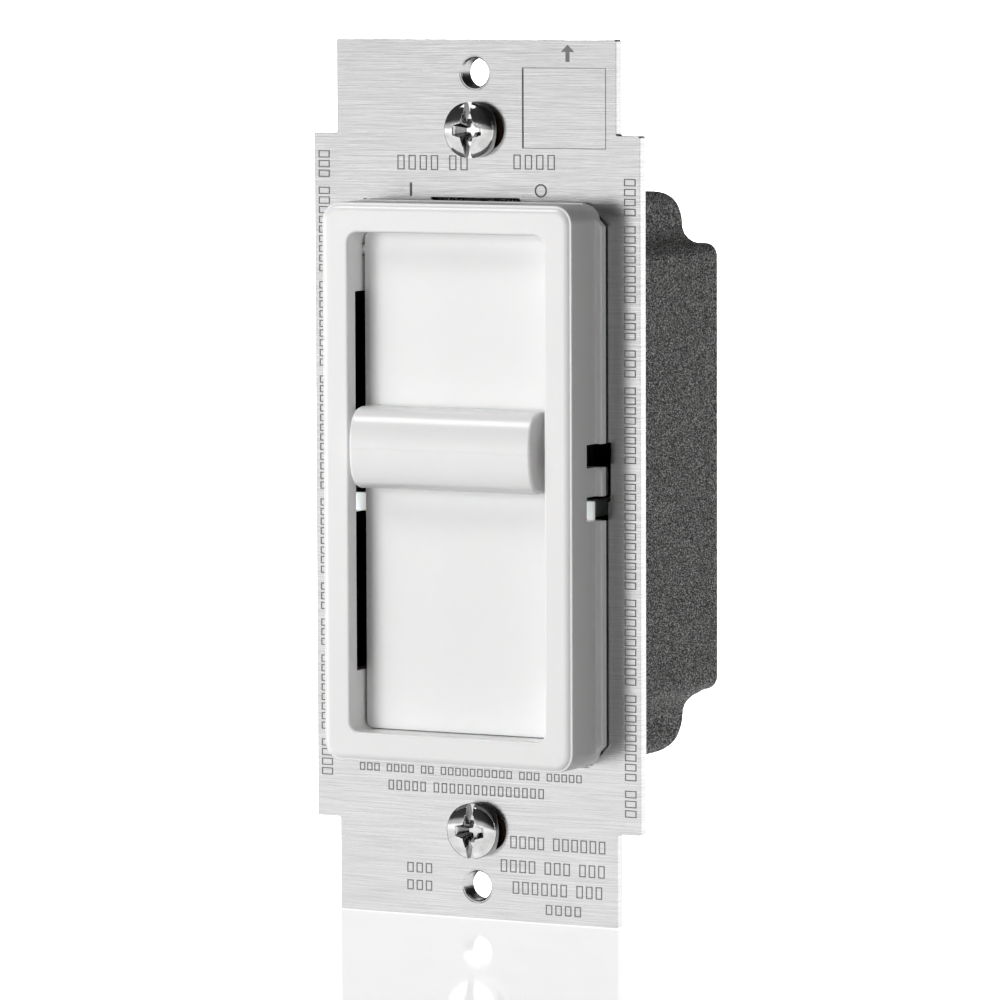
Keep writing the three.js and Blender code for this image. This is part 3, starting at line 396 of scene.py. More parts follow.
# Millimetres, in the CAD frame. Names with half are half sizes. Circles are (x, z, radius), slots are
# (half width, half height, corner), and boxes at the sides have their ranges along X, Y and Z.
STRAP_FRONT = -1.5
STRAP = {"tab": 18.6, "wide": 21.7, "top": 52.35, "shoulder": 41.15, "corner": 0.25, "edge": 0.1}
PLATE_HOLE_Z = 48.42
PLATE_HOLE_RADIUS = 2.0
SCREW_Z = 41.67
SCREW_SLOT = (3.8, 2.35, 2.349)
TONGUE_SLOT = (2.6, 22.4, 0.3)
STEM_SLOT, STEM_SLOT_Z = (4.2, 0.95, 0.3), 30.95
LEVER_SLIT, LEVER_SLIT_Z = (5.9, 0.16, 0.15), 33.44
PLUNGER_HOLE = (9, -24.2, 1.4)
RIVET_HOLE = (9.7, 20, 1.9)
# Behind the frame's notches the strap is open in a C shape, given for the right side.
SIDE_WINDOW = [(12.9, -4.15), (17.3, -4.15), (17.3, -1.8), (17.75, -1.8), (17.75, 5.15), (13.7, 5.15),
               (13.7, 2.3), (17.3, 2.3), (17.3, -1.0), (12.9, -1.0)]
SIDE_WINDOW_CORNER = 0.12
STAMP = {"x": (6.3, 17.2), "z": (39.6, 49.0), "depth": 0.12, "rim": 0.05, "line": 0.07}
GROOVE = {"outside": 0.14, "inside": -0.35, "depth": 0.35, "over": 0.5, "edge": 0.01}
HOUSING_SCREWS = [(11 * sx, 27.6 * sz) for sx in (-1, 1) for sz in (-1, 1)]
HOUSING_SCREW_HOLE_RADIUS = 1.3
STAKES = [(13 * sx, 30.9 * sz) for sx in (-1, 1) for sz in (-1, 1)]
STAKE = {"radius": 1.0, "hole": 1.1, "end": 0.9, "root": 0.4}
THREAD_RING = {"start": 0.06, "end": 0.88, "last": 0.1, "pitch": 0.4, "root": 1.96, "crest": 1.72,
               "mouth": 1.9, "outside": 2.02, "collar": 2.7, "chamfer": 0.15}
CUT_OVER = 1.0

BEZEL = {"x": 16.5, "z": 33.2, "front": -9.4, "round": 1.0, "turn": 50, "ledge": 0.14, "lip": 0.12,
         "corner": 2.2, "least_corner": 0.7, "inner_lip": 0.3, "edge": 0.1}
FLANGE = {"x": 17.35, "z": 33.3, "front": -2.9, "back": -1.66, "cut_x": 2.6, "cut_z": 2.7, "corner": 0.3,
          "inner_x": 14.6, "inner_z": 31.0, "inner_corner": 1.0, "edge": 0.2}
OPENING = {"x": 13.0, "z": 29.7, "corner": 1.3}
BEHIND_BEZEL = -0.5
LEVER_POCKET = {"x": 6.3, "front": -2.5, "z": (29.4, 34.7)}
WALL_NEAR = 0.05 * MM
CHANNEL = {"across": (12, 15), "depth": (-7.45, BEHIND_BEZEL), "height": (-22.6, 22.6)}
NOTCH = {"across": (14.5, 18.5), "depth": (-5.2, BEHIND_BEZEL)}
NOTCH_HEIGHTS = ((2.35, 5.1), (-3.95, -1.05))
TRUNNION_SEAT = {"across": (12, 14.4), "depth": (-5.61, BEHIND_BEZEL), "height": (26.75, 28.25)}
PAD = {"x": 12.7, "z": 29.62, "corner": 0.8, "front": -5.6, "back": -4.4, "edge": 0.1}
PAD_HINGE = (-5.0, 27.5)
TRUNNION = {"radius": 0.6, "end": 14.1}

# The bar's bow is a curve that its pulls shape at the side and at the crest. The seam along the crest
# has a half width and a depth.
BAR_Z = 4.2
BAR = {"half_x": 12.05, "half_z": 4.85, "front": -11.1, "rear": -6.0, "shoulder": -8.0, "edge": 0.3,
       "end_round": 0.45, "half_depth": 3.1, "bow_pulls": (0.75, 0.62), "seam": (0.09, 0.03)}
BAR_HOLLOW = {"half_x": 10.6, "half_z": 3.3, "front": -9.2, "rear": -5.0, "round": 0.5}
FOOT = {"across": (11.4, 14.7), "depth": (-7.2, -6.0), "height": (BAR_Z - 3, BAR_Z + 3), "edge": 0.12}
PIPE = {"across": (13.2, 14.9), "depth": (-1.7, 4.4), "height": (-3.9, -1.8), "edge": 0.12}
PIPE_END = {"across": (13.3, 15.9), "depth": (-2.3, -1.72), "height": (-3.92, -1.78), "edge": 0.12}
LEVER = {"low": (-5.7, -2.2, 30.0), "high": (0.9, -1.7, 33.3), "stem_low": (-3.8, -1.9, 30.3),
         "stem_high": (-1.0, 2.6, 31.6), "round": 0.1}

SCREW = {"head": 3.32, "rim": -3.0, "crown": -3.85, "shank": 1.7, "tip": 17.5, "neck": 0.2,
         "neck_step": 0.1, "under_edge": 0.12, "slot_half": 0.45, "slot_depth": 1.05, "edge": 0.05,
         "thread_start": 0.3}
# The cross recess at three depths from the crown: (arm, depth, height of the arm's flanks).
CROSS = ((2.1, -0.3, 1.5), (1.85, 0.35, 1.25), (0.8, 1.8, 0.5))
STAR_TIP, STAR_WAIST = 0.42, 0.62
THREAD = {"depth": 0.36, "pitch": 0.794, "flank": 1.25, "plain": 1.2, "run_in": 0.6, "point": 0.9,
          "point_narrows": 0.75}
RETAINER = {"half": 3.9, "corner": 0.8, "front": 0.05, "back": 0.75, "hole": 1.8, "edge": 0.08}

HOUSING = {"x": 20.3, "z": 27.0, "middle": 0.7, "back": 23.6, "corner": 1.5, "round": 1.5,
           "corner_inset": 0.6, "edge": 0.35}
EAR = {"x": 18.3, "top": 33.55, "flat": 11.2, "depth": 17.7, "round": 4.4, "fillet": 2.4, "side": 1.6,
       "side_inset": 0.6, "corner": 0.9}
# How far the ear's root spreads sideways at heights above the body's end.
EAR_FLARE = [(-1.2, 1.9), (-0.5, 1.6), (0.0, 1.2), (0.35, 0.8), (0.75, 0.45), (1.3, 0.15), (2.0, 0.0)]
CAVITY = {"low": (-18.8, -1, -25.1), "high": (18.8, 21.8, 26.2)}
STEM_CHANNEL = {"low": (-6.5, -1, 25.2), "high": (6.5, 4, 31.9)}
WIRE_EXIT = {"spacing": 9, "z": 17, "radius": 2.1, "from": 20.8, "to": 24.6}
SCREW_BORE = {"radius": 1.2, "end": 7.5}
STAKE_BORE = {"radius": 1.3, "end": 1.2}


# ---- mesh helpers

# Distances in metres, an angle in degrees, a weight in percent and the normal of a flat face.
MERGE, DEGENERATE = 1e-7, 1e-8
SHARP_ANGLE = 46
FLAT_WEIGHT = 80
FLAT_NORMAL = 0.9999


def evaluated(obj):
    """A new mesh of the object with its modifiers, or its curve, worked out."""
    bpy.context.view_layer.update()
    return bpy.data.meshes.new_from_object(obj.evaluated_get(bpy.context.evaluated_depsgraph_get()))


def apply_modifiers(obj):
    """Makes the object's modifiers part of its mesh."""
    mesh = evaluated(obj)
    obj.modifiers.clear()
    old = obj.data
    obj.data = mesh
    bpy.data.meshes.remove(old)


def from_bmesh(name, bm, mesh):
    """An object of the mesh, filled from the bmesh with its doubles merged and its faces turned out."""
    bmesh.ops.remove_doubles(bm, verts=bm.verts, dist=MERGE)
    bmesh.ops.dissolve_degenerate(bm, dist=DEGENERATE, edges=bm.edges)
    bmesh.ops.recalc_face_normals(bm, faces=bm.faces)
    bm.to_mesh(mesh)
    bm.free()
    return placed(name, mesh)


def made(name, source):
    """An object from a bmesh or from (verts, faces) in millimetres."""
    mesh = bpy.data.meshes.new(name)
    bm = source
    if not isinstance(source, bmesh.types.BMesh):
        mesh.from_pydata([Vector(v) for v in source[0]], [], source[1])
        bm = bmesh.new()
        bm.from_mesh(mesh)
    bmesh.ops.scale(bm, vec=(MM, MM, MM), verts=bm.verts)
    return from_bmesh(name, bm, mesh)


def soften(obj, width, segments=2, angle=40):
    """Rounds the object's sharp edges and keeps its flat faces flat in the shading."""
    if width > 0:
        bevel = obj.modifiers.new("round", "BEVEL")
        bevel.width = width * MM
        bevel.segments = segments
        bevel.limit_method = "ANGLE"
        bevel.angle_limit = math.radians(angle)
        bevel.miter_outer = "MITER_ARC"
        apply_modifiers(obj)
    obj.data.shade_smooth()
    obj.data.set_sharp_from_angle(angle=math.radians(SHARP_ANGLE))
    weighted = obj.modifiers.new("flat", "WEIGHTED_NORMAL")
    weighted.weight = FLAT_WEIGHT
    weighted.keep_sharp = True
    apply_modifiers(obj)


def flatten(obj):
    """Shades the faces that look straight forward or back as truly flat."""
    mesh = obj.data
    normals = [Vector(corner.vector) for corner in mesh.corner_normals]
    for face in mesh.polygons:
        if abs(face.normal.y) > FLAT_NORMAL:
            for corner in face.loop_indices:
                normals[corner] = face.normal
    mesh.normals_split_custom_set(normals)


def dress(obj, material, node=None, body="strap_assembly"):
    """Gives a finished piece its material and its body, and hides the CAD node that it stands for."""
    obj.data.materials.clear()
    obj.data.materials.append(MATERIALS[material])
    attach(obj, body)
    if node:
        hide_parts(node)


def rounded_rectangle(half_x, half_z, radius, steps=8, x=0.0, z=0.0):
    """Points round a rectangle about (x, z), anticlockwise, with round corners."""
    points = []
    for corner, (sx, sz) in enumerate(((1, 1), (-1, 1), (-1, -1), (1, -1))):
        for i in range(steps + 1):
            angle = math.pi / 2 * (corner + i / steps)
            points.append((x + sx * (half_x - radius) + radius * math.cos(angle),
                           z + sz * (half_z - radius) + radius * math.sin(angle)))
    return points


def circle(x, z, radius, steps=40):
    """Points round a circle about (x, z)."""
    return [(x + radius * math.cos(a), z + radius * math.sin(a))
            for a in (2 * math.pi * i / steps for i in range(steps))]


def ring(outline, y):
    """An outline in (x, z) as a ring of points at depth y."""
    return [(x, y, z) for x, z in outline]


def quarter(steps):
    """Angles from 0 to a quarter turn."""
    return [math.pi / 2 * i / steps for i in range(steps + 1)]


def rounded_outline(corners, steps=5):
    """Points of a closed outline through corners (x, z, radius), each rounded by an arc."""
    points = []
    count = len(corners)
    for i, (x, z, radius) in enumerate(corners):
        here = Vector((x, z))
        before = (Vector(corners[i - 1][:2]) - here).normalized()
        after = (Vector(corners[(i + 1) % count][:2]) - here).normalized()
        half = before.angle(after) / 2
        start = here + before * (radius / math.tan(half))
        end = here + after * (radius / math.tan(half))
        middle = here + (before + after).normalized() * (radius / math.sin(half))
        for k in range(steps + 1):
            spoke = start.lerp(end, k / steps) - middle
            points.append(tuple(middle + spoke.normalized() * radius))
    return points


def plate(name, loops, front, back, edge):
    """A flat plate with holes, its loops drawn in X and Z, from the front to the back depth, with
    every edge rounded."""
    data = bpy.data.curves.new(name, "CURVE")
    data.dimensions = "2D"
    data.fill_mode = "BOTH"
    data.extrude = ((back - front) / 2 - edge) * MM
    data.bevel_depth = edge * MM
    data.bevel_resolution = 2
    data.offset = -edge * MM
    for loop in loops:
        spline = data.splines.new("POLY")
        spline.points.add(len(loop) - 1)
        for point, (x, y) in zip(spline.points, loop):
            point.co = (x * MM, y * MM, 0, 1)
        spline.use_cyclic_u = True
    curve = placed(name + "_curve", data)
    mesh = evaluated(curve)
    bpy.data.objects.remove(curve)
    bm = bmesh.new()
    bm.from_mesh(mesh)
    obj = from_bmesh(name, bm, mesh)
    upright = Matrix.Rotation(math.pi / 2, 4, "X")
    mesh.transform(Matrix.Translation((0, (front + back) / 2 * MM, 0)) @ upright)
    return obj


def skin(rings, ends=True):
    """Vertices and faces of a skin over rings of equal length. Without ends, the last ring joins the
    first."""
    count, last = len(rings[0]), len(rings)
    verts = [point for points in rings for point in points]
    faces = []
    for r in range(last - 1 if ends else last):
        a, b = r * count, (r + 1) % last * count
        faces += [(a + i, a + (i + 1) % count, b + (i + 1) % count, b + i) for i in range(count)]
    if ends:
        faces.append(tuple(reversed(range(count))))
        faces.append(tuple(range((last - 1) * count, last * count)))
    return verts, faces


def turned(profile, x, z, steps=64):
    """A skin turned about the line along Y through (x, z). The profile lists (radius, y). If it doesn't
    start on the axis it closes on itself."""
    solid = profile[0][0] < 1e-6
    inner = [(max(r, 1e-4), y) for r, y in profile]
    return skin([ring(circle(x, z, r, steps), y) for r, y in inner], ends=solid)


def cube(low, high, edge=0.0, segments=3):
    """A box between two corners in millimetres, its edges rounded by edge."""
    bm = bmesh.new()
    bmesh.ops.create_cube(bm, size=1.0)
    size = Vector(high) - Vector(low)
    middle = (Vector(high) + Vector(low)) / 2
    for v in bm.verts:
        v.co = Vector((v.co.x * size.x, v.co.y * size.y, v.co.z * size.z)) + middle
    if edge > 0:
        bmesh.ops.bevel(bm, geom=bm.edges[:], offset=edge, segments=segments, profile=0.5, affect="EDGES")
    return bm


def side_box(name, side, across, depth, height, edge=0.0):
    """A box on the left (-1) or right (1) side, from its ranges along X, Y and Z."""
    x0, x1 = sorted((side * across[0], side * across[1]))
    return made(name, cube((x0, depth[0], height[0]), (x1, depth[1], height[1]), edge))


def boolean(obj, tools, operation="DIFFERENCE"):
    """Cuts each tool out of the object, or adds it, and removes the tools."""
    for tool in tools:
        modifier = obj.modifiers.new("cut", "BOOLEAN")
        modifier.operation = operation
        modifier.solver = "EXACT"
        modifier.object = tool
        apply_modifiers(obj)
        bpy.data.objects.remove(tool)


def union(obj, tools):
    """Adds each tool to the object."""
    boolean(obj, tools, "UNION")


def box_tool(low, high):
    """A plain box to cut or add with."""
    return made("tool", cube(low, high))


def rod_tool(x, z, radius, y0, y1, steps=32):
    """A plain rod along Y to cut or add with."""
    return made("tool", turned([(0, y0), (radius, y0), (radius, y1), (0, y1)], x, z, steps))


def arc(middle, radius, start, end, steps):
    """Points on an arc in a plane, with angles in degrees."""
    points = []
    for i in range(steps + 1):
        angle = math.radians(start + (end - start) * i / steps)
        points.append((middle[0] + radius * math.cos(angle), middle[1] + radius * math.sin(angle)))
    return points


# ---- strap

def strap_outline():
    """The strap's outline, with a narrower tab at each end."""
    corner = STRAP["corner"]
    corners = [(STRAP["wide"], STRAP["shoulder"], corner), (STRAP["tab"], STRAP["shoulder"], corner),
               (STRAP["tab"], STRAP["top"], corner)]
    loop = corners + [(-x, z, r) for x, z, r in reversed(corners)]
    loop += [(-x, -z, r) for x, z, r in corners] + [(x, -z, r) for x, z, r in reversed(corners)]
    return rounded_outline(loop)


def make_strap():
    """The strap with all its openings, its stamped rectangle and the groove that the flange lies in."""
    loops = [strap_outline(), rounded_rectangle(*TONGUE_SLOT, 3), circle(*PLUNGER_HOLE),
             circle(*RIVET_HOLE), rounded_rectangle(*STEM_SLOT, 3, 0, STEM_SLOT_Z),
             rounded_rectangle(*LEVER_SLIT, 2, 0, LEVER_SLIT_Z)]
    for side in (-1, 1):
        window = [(side * x, z, SIDE_WINDOW_CORNER) for x, z in SIDE_WINDOW]
        loops.append(rounded_outline(window[::side], 2))
    loops += [circle(x, z, HOUSING_SCREW_HOLE_RADIUS, 24) for x, z in HOUSING_SCREWS]
    loops += [circle(x, z, STAKE["hole"], 24) for x, z in STAKES]
    for end in (-1, 1):
        loops.append(circle(0, end * PLATE_HOLE_Z, PLATE_HOLE_RADIUS, 48))
        loops.append(rounded_rectangle(*SCREW_SLOT, 14, 0, end * SCREW_Z))
    strap = plate("strap_plate", loops, STRAP_FRONT, 0.0, STRAP["edge"])
    groove = plate("groove", [flange_outline(GROOVE["outside"]), flange_outline(GROOVE["inside"])],
                   STRAP_FRONT - GROOVE["over"], STRAP_FRONT + GROOVE["depth"], GROOVE["edge"])
    (x0, x1), (z0, z1) = STAMP["x"], STAMP["z"]
    stamp = box_tool((x0, STRAP_FRONT - CUT_OVER, z0), (x1, STRAP_FRONT + STAMP["depth"], z1))
    boolean(strap, [stamp, groove])
    soften(strap, 0)
    flatten(strap)
    dress(strap, "aluminium", "mounting_strap")
    make_threads()


def make_threads():
    """The rolled collars behind the wall plate holes, with the thread cut through plate and collar."""
    root, crest, mouth, outside, collar = (THREAD_RING[k] for k in ("root", "crest", "mouth", "outside",
                                                                    "collar"))
    start, end = STRAP_FRONT + THREAD_RING["start"], THREAD_RING["end"]
    half_pitch, chamfer = THREAD_RING["pitch"] / 2, THREAD_RING["chamfer"]
    profile = [(outside, start), (mouth, start)]
    y, deep = start + half_pitch, False
    while y < end - THREAD_RING["last"]:
        profile.append((root if deep else crest, y))
        y, deep = y + half_pitch, not deep
    profile += [(mouth, end), (collar - chamfer, end), (collar, end - chamfer), (collar, 0.0),
                (outside, 0.0)]
    for name, side in (("top", 1), ("bottom", -1)):
        thread = made("plate_thread_" + name, turned(profile, 0, side * PLATE_HOLE_Z, 56))
        soften(thread, 0)
        dress(thread, "aluminium")


# Stamped marks on the strap's face, drawn as rows of plain empty cells. Each row gives its start in X
# and its middle in Z, the cells in each of its words, and the cells' width, height and gap.
MARK_ROWS = (
    (-10.4, 37.75, (4, 2), 0.95, 1.75, 0.55),
    (5.1, 37.95, (4,), 0.95, 1.75, 0.55),
    (-15.9, -34.85, (3, 4, 2, 10, 3, 5), 0.72, 0.95, 0.26),
    (-12.0, -36.9, (5, 14), 0.72, 1.2, 0.36),
    (4.4, -42.85, (4, 6), 0.85, 1.5, 0.36),
    (3.1, -45.75, (4, 3, 3), 0.85, 1.5, 0.4),
    (4.7, -48.3, (6, 3), 0.85, 1.5, 0.42),
    (9.1, -50.7, (4,), 0.85, 1.2, 0.42),
    (-9.5, -46.7, (3,), 0.85, 1.2, 0.4),
    (-9.5, -48.8, (3,), 0.85, 1.2, 0.4),
)
# The rows along the strap's two long edges, which run up on the right and down on the left.
SIDE_MARKS = {"x": 20.35, "start": 38.6, "run": (3, 9, 9, 12, 8, 3, 3, 8, 4), "cell": (1.5, 0.88),
              "gap": 0.28}
MARK_HEIGHT = 0.035
MARK_ROOT = 0.05
MARK_LINE = 0.13
ARROW = [(12.0, 49.75), (12.5, 49.75), (12.5, 50.9), (13.1, 50.9), (12.25, 51.75), (11.4, 50.9),
         (12.0, 50.9)]
POSITION_BAR = [(-8.75, 33.75), (-8.45, 33.75), (-8.45, 35.35), (-8.75, 35.35)]
POSITION_RING = ((8.7, 34.6, 0.8), (8.7, 34.6, 0.62))


def ridge(outer, inner):
    """A flat ridge between two outlines in (x, z)."""
    low, high = STRAP_FRONT + MARK_ROOT, STRAP_FRONT - MARK_HEIGHT
    return skin([ring(outer, low), ring(outer, high), ring(inner, high), ring(inner, low)], ends=False)


def empty_cell(x0, z0, x1, z1, line):
    """A thin rectangular ridge."""
    return ridge([(x0, z0), (x1, z0), (x1, z1), (x0, z1)],
                 [(x0 + line, z0 + line), (x1 - line, z0 + line), (x1 - line, z1 - line),
                  (x0 + line, z1 - line)])


def solid_mark(outline):
    """A flat ridge that fills the outline in (x, z)."""
    return skin([ring(outline, y) for y in (STRAP_FRONT + MARK_ROOT, STRAP_FRONT - MARK_HEIGHT)])


def make_marks():
    """All the marks on the strap as one piece."""
    parts = []
    for x, z, run, wide, tall, gap in MARK_ROWS:
        for word in run:
            for _ in range(word):
                parts.append(empty_cell(x, z - tall / 2, x + wide, z + tall / 2, MARK_LINE))
                x += wide + gap
            x += wide
    wide, tall = SIDE_MARKS["cell"]
    for side in (-1, 1):
        z = SIDE_MARKS["start"]
        middle = side * SIDE_MARKS["x"]
        for word in SIDE_MARKS["run"]:
            for _ in range(word):
                parts.append(empty_cell(middle - wide / 2, -side * z - tall / 2, middle + wide / 2,
                                        -side * z + tall / 2, MARK_LINE))
                z -= tall + SIDE_MARKS["gap"]
            z -= tall
    (x0, x1), (z0, z1), rim = STAMP["x"], STAMP["z"], STAMP["rim"]
    parts.append(empty_cell(x0 - rim, z0 - rim, x1 + rim, z1 + rim, STAMP["line"]))
    parts += [solid_mark(ARROW), solid_mark(POSITION_BAR)]
    parts.append(ridge(*(circle(*edge, 32) for edge in POSITION_RING)))
    verts, faces = [], []
    for part_verts, part_faces in parts:
        faces += [tuple(i + len(verts) for i in face) for face in part_faces]
        verts += part_verts
    marks = made("strap_marks", (verts, faces))
    dress(marks, "mark")


# ---- bezel, pad and bar

def flange_outline(grow):
    """The flange's outline with its cut corners, made larger by grow."""
    fx, fz, cx, cz = FLANGE["x"] + grow, FLANGE["z"] + grow, FLANGE["cut_x"], FLANGE["cut_z"]
    corners = [(fx, fz - cz), (fx - cx, fz), (cx - fx, fz), (-fx, fz - cz), (-fx, cz - fz), (cx - fx, -fz),
               (fx - cx, -fz), (fx, cz - fz)]
    return rounded_outline([(x, z, FLANGE["corner"]) for x, z in corners], 3)


def bezel_rings():
    """The frame's section as rings: up its outer side, over the ledge and the rounded rim, and down
    into the recess."""
    x, z, front, corner, turn = (BEZEL[k] for k in ("x", "z", "front", "corner", "turn"))
    lip, inner_lip, rim = BEZEL["lip"], BEZEL["inner_lip"], BEZEL["round"]
    drop = rim * (1 - math.cos(math.radians(turn)))
    start = lip + BEZEL["ledge"] + rim * math.sin(math.radians(turn))
    outer = [(0, STRAP_FRONT)] + [(lip - a, y) for a, y in arc((0, front + drop + lip), lip, 0, -90, 4)]
    outer += [(start - rim * math.sin(a), front + rim * (1 - math.cos(a)))
              for a in (math.radians(turn * (1 - i / 7)) for i in range(8))]
    inner = [(inner_lip - a, y) for a, y in arc((0, front + inner_lip), inner_lip, -90, 0, 5)]
    outlines = [(rounded_rectangle(x - inset, z - inset, max(corner - inset, BEZEL["least_corner"])), y)
                for inset, y in outer]
    outlines += [(rounded_rectangle(OPENING["x"] + grow, OPENING["z"] + grow, OPENING["corner"] + grow), y)
                 for grow, y in inner + [(0, STRAP_FRONT)]]
    return [ring(outline, y) for outline, y in outlines]


def make_bezel():
    """The frame with its flange, the openings in its back and sides, and the stakes that hold it."""
    body = made("bezel", skin(bezel_rings(), ends=False))
    inside = rounded_rectangle(FLANGE["inner_x"], FLANGE["inner_z"], FLANGE["inner_corner"], 4)
    union(body, [plate("flange", [flange_outline(0), inside], FLANGE["front"], FLANGE["back"],
                       FLANGE["edge"])])
    x, (z0, z1) = LEVER_POCKET["x"], LEVER_POCKET["z"]
    tools = [box_tool((-x, LEVER_POCKET["front"], z0), (x, BEHIND_BEZEL, z1))]
    for side in (-1, 1):
        tools.append(side_box("tool", side, **CHANNEL))
        tools += [side_box("tool", side, height=height, **NOTCH) for height in NOTCH_HEIGHTS]
        tools.append(side_box("tool", side, **TRUNNION_SEAT))
    boolean(body, tools)
    root = STRAP_FRONT - STAKE["root"]
    union(body, [rod_tool(x, z, STAKE["radius"], root, STAKE["end"], 24) for x, z in STAKES])
    soften(body, BEZEL["edge"])
    dress(body, "white", "bezel_frame")
    # Painted shade: the frame's slot walls get a black finish.
    paint_shade_on_slot_walls(body)


def paint_shade_on_slot_walls(body):
    """Paints shade on the outer walls of the frame's side slots: gives them the insulating sheet's black
    finish, so that they look as dark as the shaded space behind them.
    """
    wall = CHANNEL["across"][1] * MM
    body.data.materials.append(MATERIALS["sheet"])
    for face in body.data.polygons:
        if abs(abs(face.center.x) - wall) < WALL_NEAR and face.normal.x * face.center.x < 0:
            face.material_index = 1


def make_pad():
    """The flat pad in the recess and the trunnions that it turns on."""
    outline = rounded_rectangle(PAD["x"], PAD["z"], PAD["corner"], 6)
    pad = plate("pad", [outline], PAD["front"], PAD["back"], PAD["edge"])
    y, z = PAD_HINGE
    radius, end = TRUNNION["radius"], TRUNNION["end"]
    rings = [[(x, py, pz) for py, pz in circle(y, z, radius, 24)] for x in (-end, end)]
    union(pad, [made("trunnions", skin(rings))])
    soften(pad, 0)
    dress(pad, "white", "push_pad", "pad")


def bar_section():
    """The bar's outline in (y, z) about its own middle: flat behind, bowed in front, with a fine
    parting line along the crest."""
    front, rear, shoulder, half, edge = (BAR[k] for k in ("front", "rear", "shoulder", "half_z", "edge"))
    side_pull, crest_pull = BAR["bow_pulls"]
    seam_half, seam_depth = BAR["seam"]
    bow = front - shoulder
    curve = [Vector(p) for p in ((shoulder, -half), (shoulder + side_pull * bow, -half),
                                 (front, -crest_pull * half), (front, 0))]
    lower = [tuple(point) for point in interpolate_bezier(*curve, 21)]
    back = arc((rear - edge, -half + edge), edge, 0, -90, 4)
    under = back + lower[:-1] + [(front, -seam_half), (front + seam_depth, -seam_depth)]
    return under + [(y, -z) for y, z in reversed(under)]


def bar_rings():
    """The bar's section repeated along X, shrinking over each rounded end."""
    outline = bar_section()
    half, edge, middle = BAR["half_x"], BAR["end_round"], BAR["shoulder"]
    stations = [(-half + edge - edge * math.sin(a), edge * (1 - math.cos(a)))
                for a in reversed(quarter(6))]
    stations += [(-x, inset) for x, inset in reversed(stations)]
    rings = []
    for x, inset in stations:
        shrink_y, shrink_z = 1 - inset / BAR["half_depth"], 1 - inset / BAR["half_z"]
        rings.append([(x, middle + (y - middle) * shrink_y, BAR_Z + z * shrink_z) for y, z in outline])
    return rings


def make_bar():
    """The hollow bar and its two feet."""
    bar = made("bar", skin(bar_rings()))
    x, z = BAR_HOLLOW["half_x"], BAR_HOLLOW["half_z"]
    hollow = cube((-x, BAR_HOLLOW["front"], BAR_Z - z), (x, BAR_HOLLOW["rear"], BAR_Z + z),
                  BAR_HOLLOW["round"])
    boolean(bar, [made("hollow", hollow)])
    union(bar, [side_box("foot", side, **FOOT) for side in (-1, 1)])
    soften(bar, 0)
    dress(bar, "white", "slide_bar", "slider")


def make_light_pipes():
    """The two light pipes and their bright ends, which the frame's slots and notches show. The ends'
    brightness is a painted glow that stands in for light falling on them.
    """
    for name, side in (("left", -1), ("right", 1)):
        pipe = side_box("pipe_" + name, side, **PIPE)
        end = side_box("pipe_end_" + name, side, **PIPE_END)
        soften(pipe, 0)
        soften(end, 0)
        # Painted light: the ends get a glowing finish.
        dress(end, "pipe_end")
        dress(pipe, "light_pipe", "light_pipe_" + name)


def make_lever():
    """The light selector's lever and the stem that reaches through the strap."""
    lever = made("lever", cube(LEVER["low"], LEVER["high"], LEVER["round"]))
    union(lever, [made("stem", cube(LEVER["stem_low"], LEVER["stem_high"], LEVER["round"]))])
    soften(lever, 0)
    dress(lever, "white", "light_selector_lever", "selector")


# ---- screws

def star(arm, z, y, height):
    """A cross outline with flared flanks, about (0, z)."""
    tip, waist = STAR_TIP * height, STAR_WAIST * height
    points = []
    for c, s in ((1, 0), (0, 1), (-1, 0), (0, -1)):
        for x, v in ((arm, -tip), (arm, tip), (waist, waist)):
            points.append((x * c - v * s, y, z + x * s + v * c))
    return points


def make_screw(name, z):
    """A screw with a domed head, a slot and a cross in it, and a threaded shank."""
    head, rim, crown = SCREW["head"], SCREW["rim"], SCREW["crown"]
    dome = [(head * math.sin(a), rim - (rim - crown) * math.cos(a)) for a in quarter(14)]
    neck, neck_radius = STRAP_FRONT + SCREW["neck"], SCREW["shank"] - SCREW["neck_step"]
    below = SCREW["under_edge"]
    under = [(head, STRAP_FRONT - below), (head - below, STRAP_FRONT), (neck_radius, STRAP_FRONT),
             (neck_radius, neck), (0, neck)]
    head_part = made(name + "_head", turned(dome + under, 0, z, 96))
    half, reach = SCREW["slot_half"], head + CUT_OVER
    slot = cube((-half, crown - CUT_OVER, z - reach), (half, crown + SCREW["slot_depth"], z + reach))
    cross = made("cross", skin([star(arm, z, crown + depth, height) for arm, depth, height in CROSS]))
    boolean(head_part, [made("slot", slot), cross])
    soften(head_part, SCREW["edge"], 2, 35)
    thread = made(name + "_thread", screw_thread(z, neck - SCREW["thread_start"], SCREW["tip"]))
    thread.data.shade_smooth()
    thread.data.set_sharp_from_angle(angle=math.radians(50))
    screw = join(name, [head_part, thread])
    dress(screw, "chrome", name, name.replace("mounting_", ""))


def clamped(value):
    """The value kept within 0 to 1."""
    return min(1.0, max(0.0, value))


def screw_thread(z, start, end, around=40, per_pitch=8):
    """A shank with a helical thread cut in it and a short blunt point."""
    outer, depth, pitch = SCREW["shank"], THREAD["depth"], THREAD["pitch"]
    rows = int((end - start) / pitch * per_pitch)
    rings = []
    for row in range(rows + 1):
        y = start + (end - start) * row / rows
        taper = clamped((end - y) / THREAD["point"])
        lead = clamped((y - start - THREAD["plain"]) / THREAD["run_in"])
        points = []
        for i in range(around):
            turn = i / around
            wave = abs(((y / pitch - turn) % 1.0) * 2 - 1)
            crest = min(1.0, wave * THREAD["flank"])
            radius = outer - depth * lead * (1 - crest) - (1 - taper) * THREAD["point_narrows"]
            angle = 2 * math.pi * turn
            points.append((radius * math.cos(angle), y, z + radius * math.sin(angle)))
        rings.append(points)
    return skin(rings)


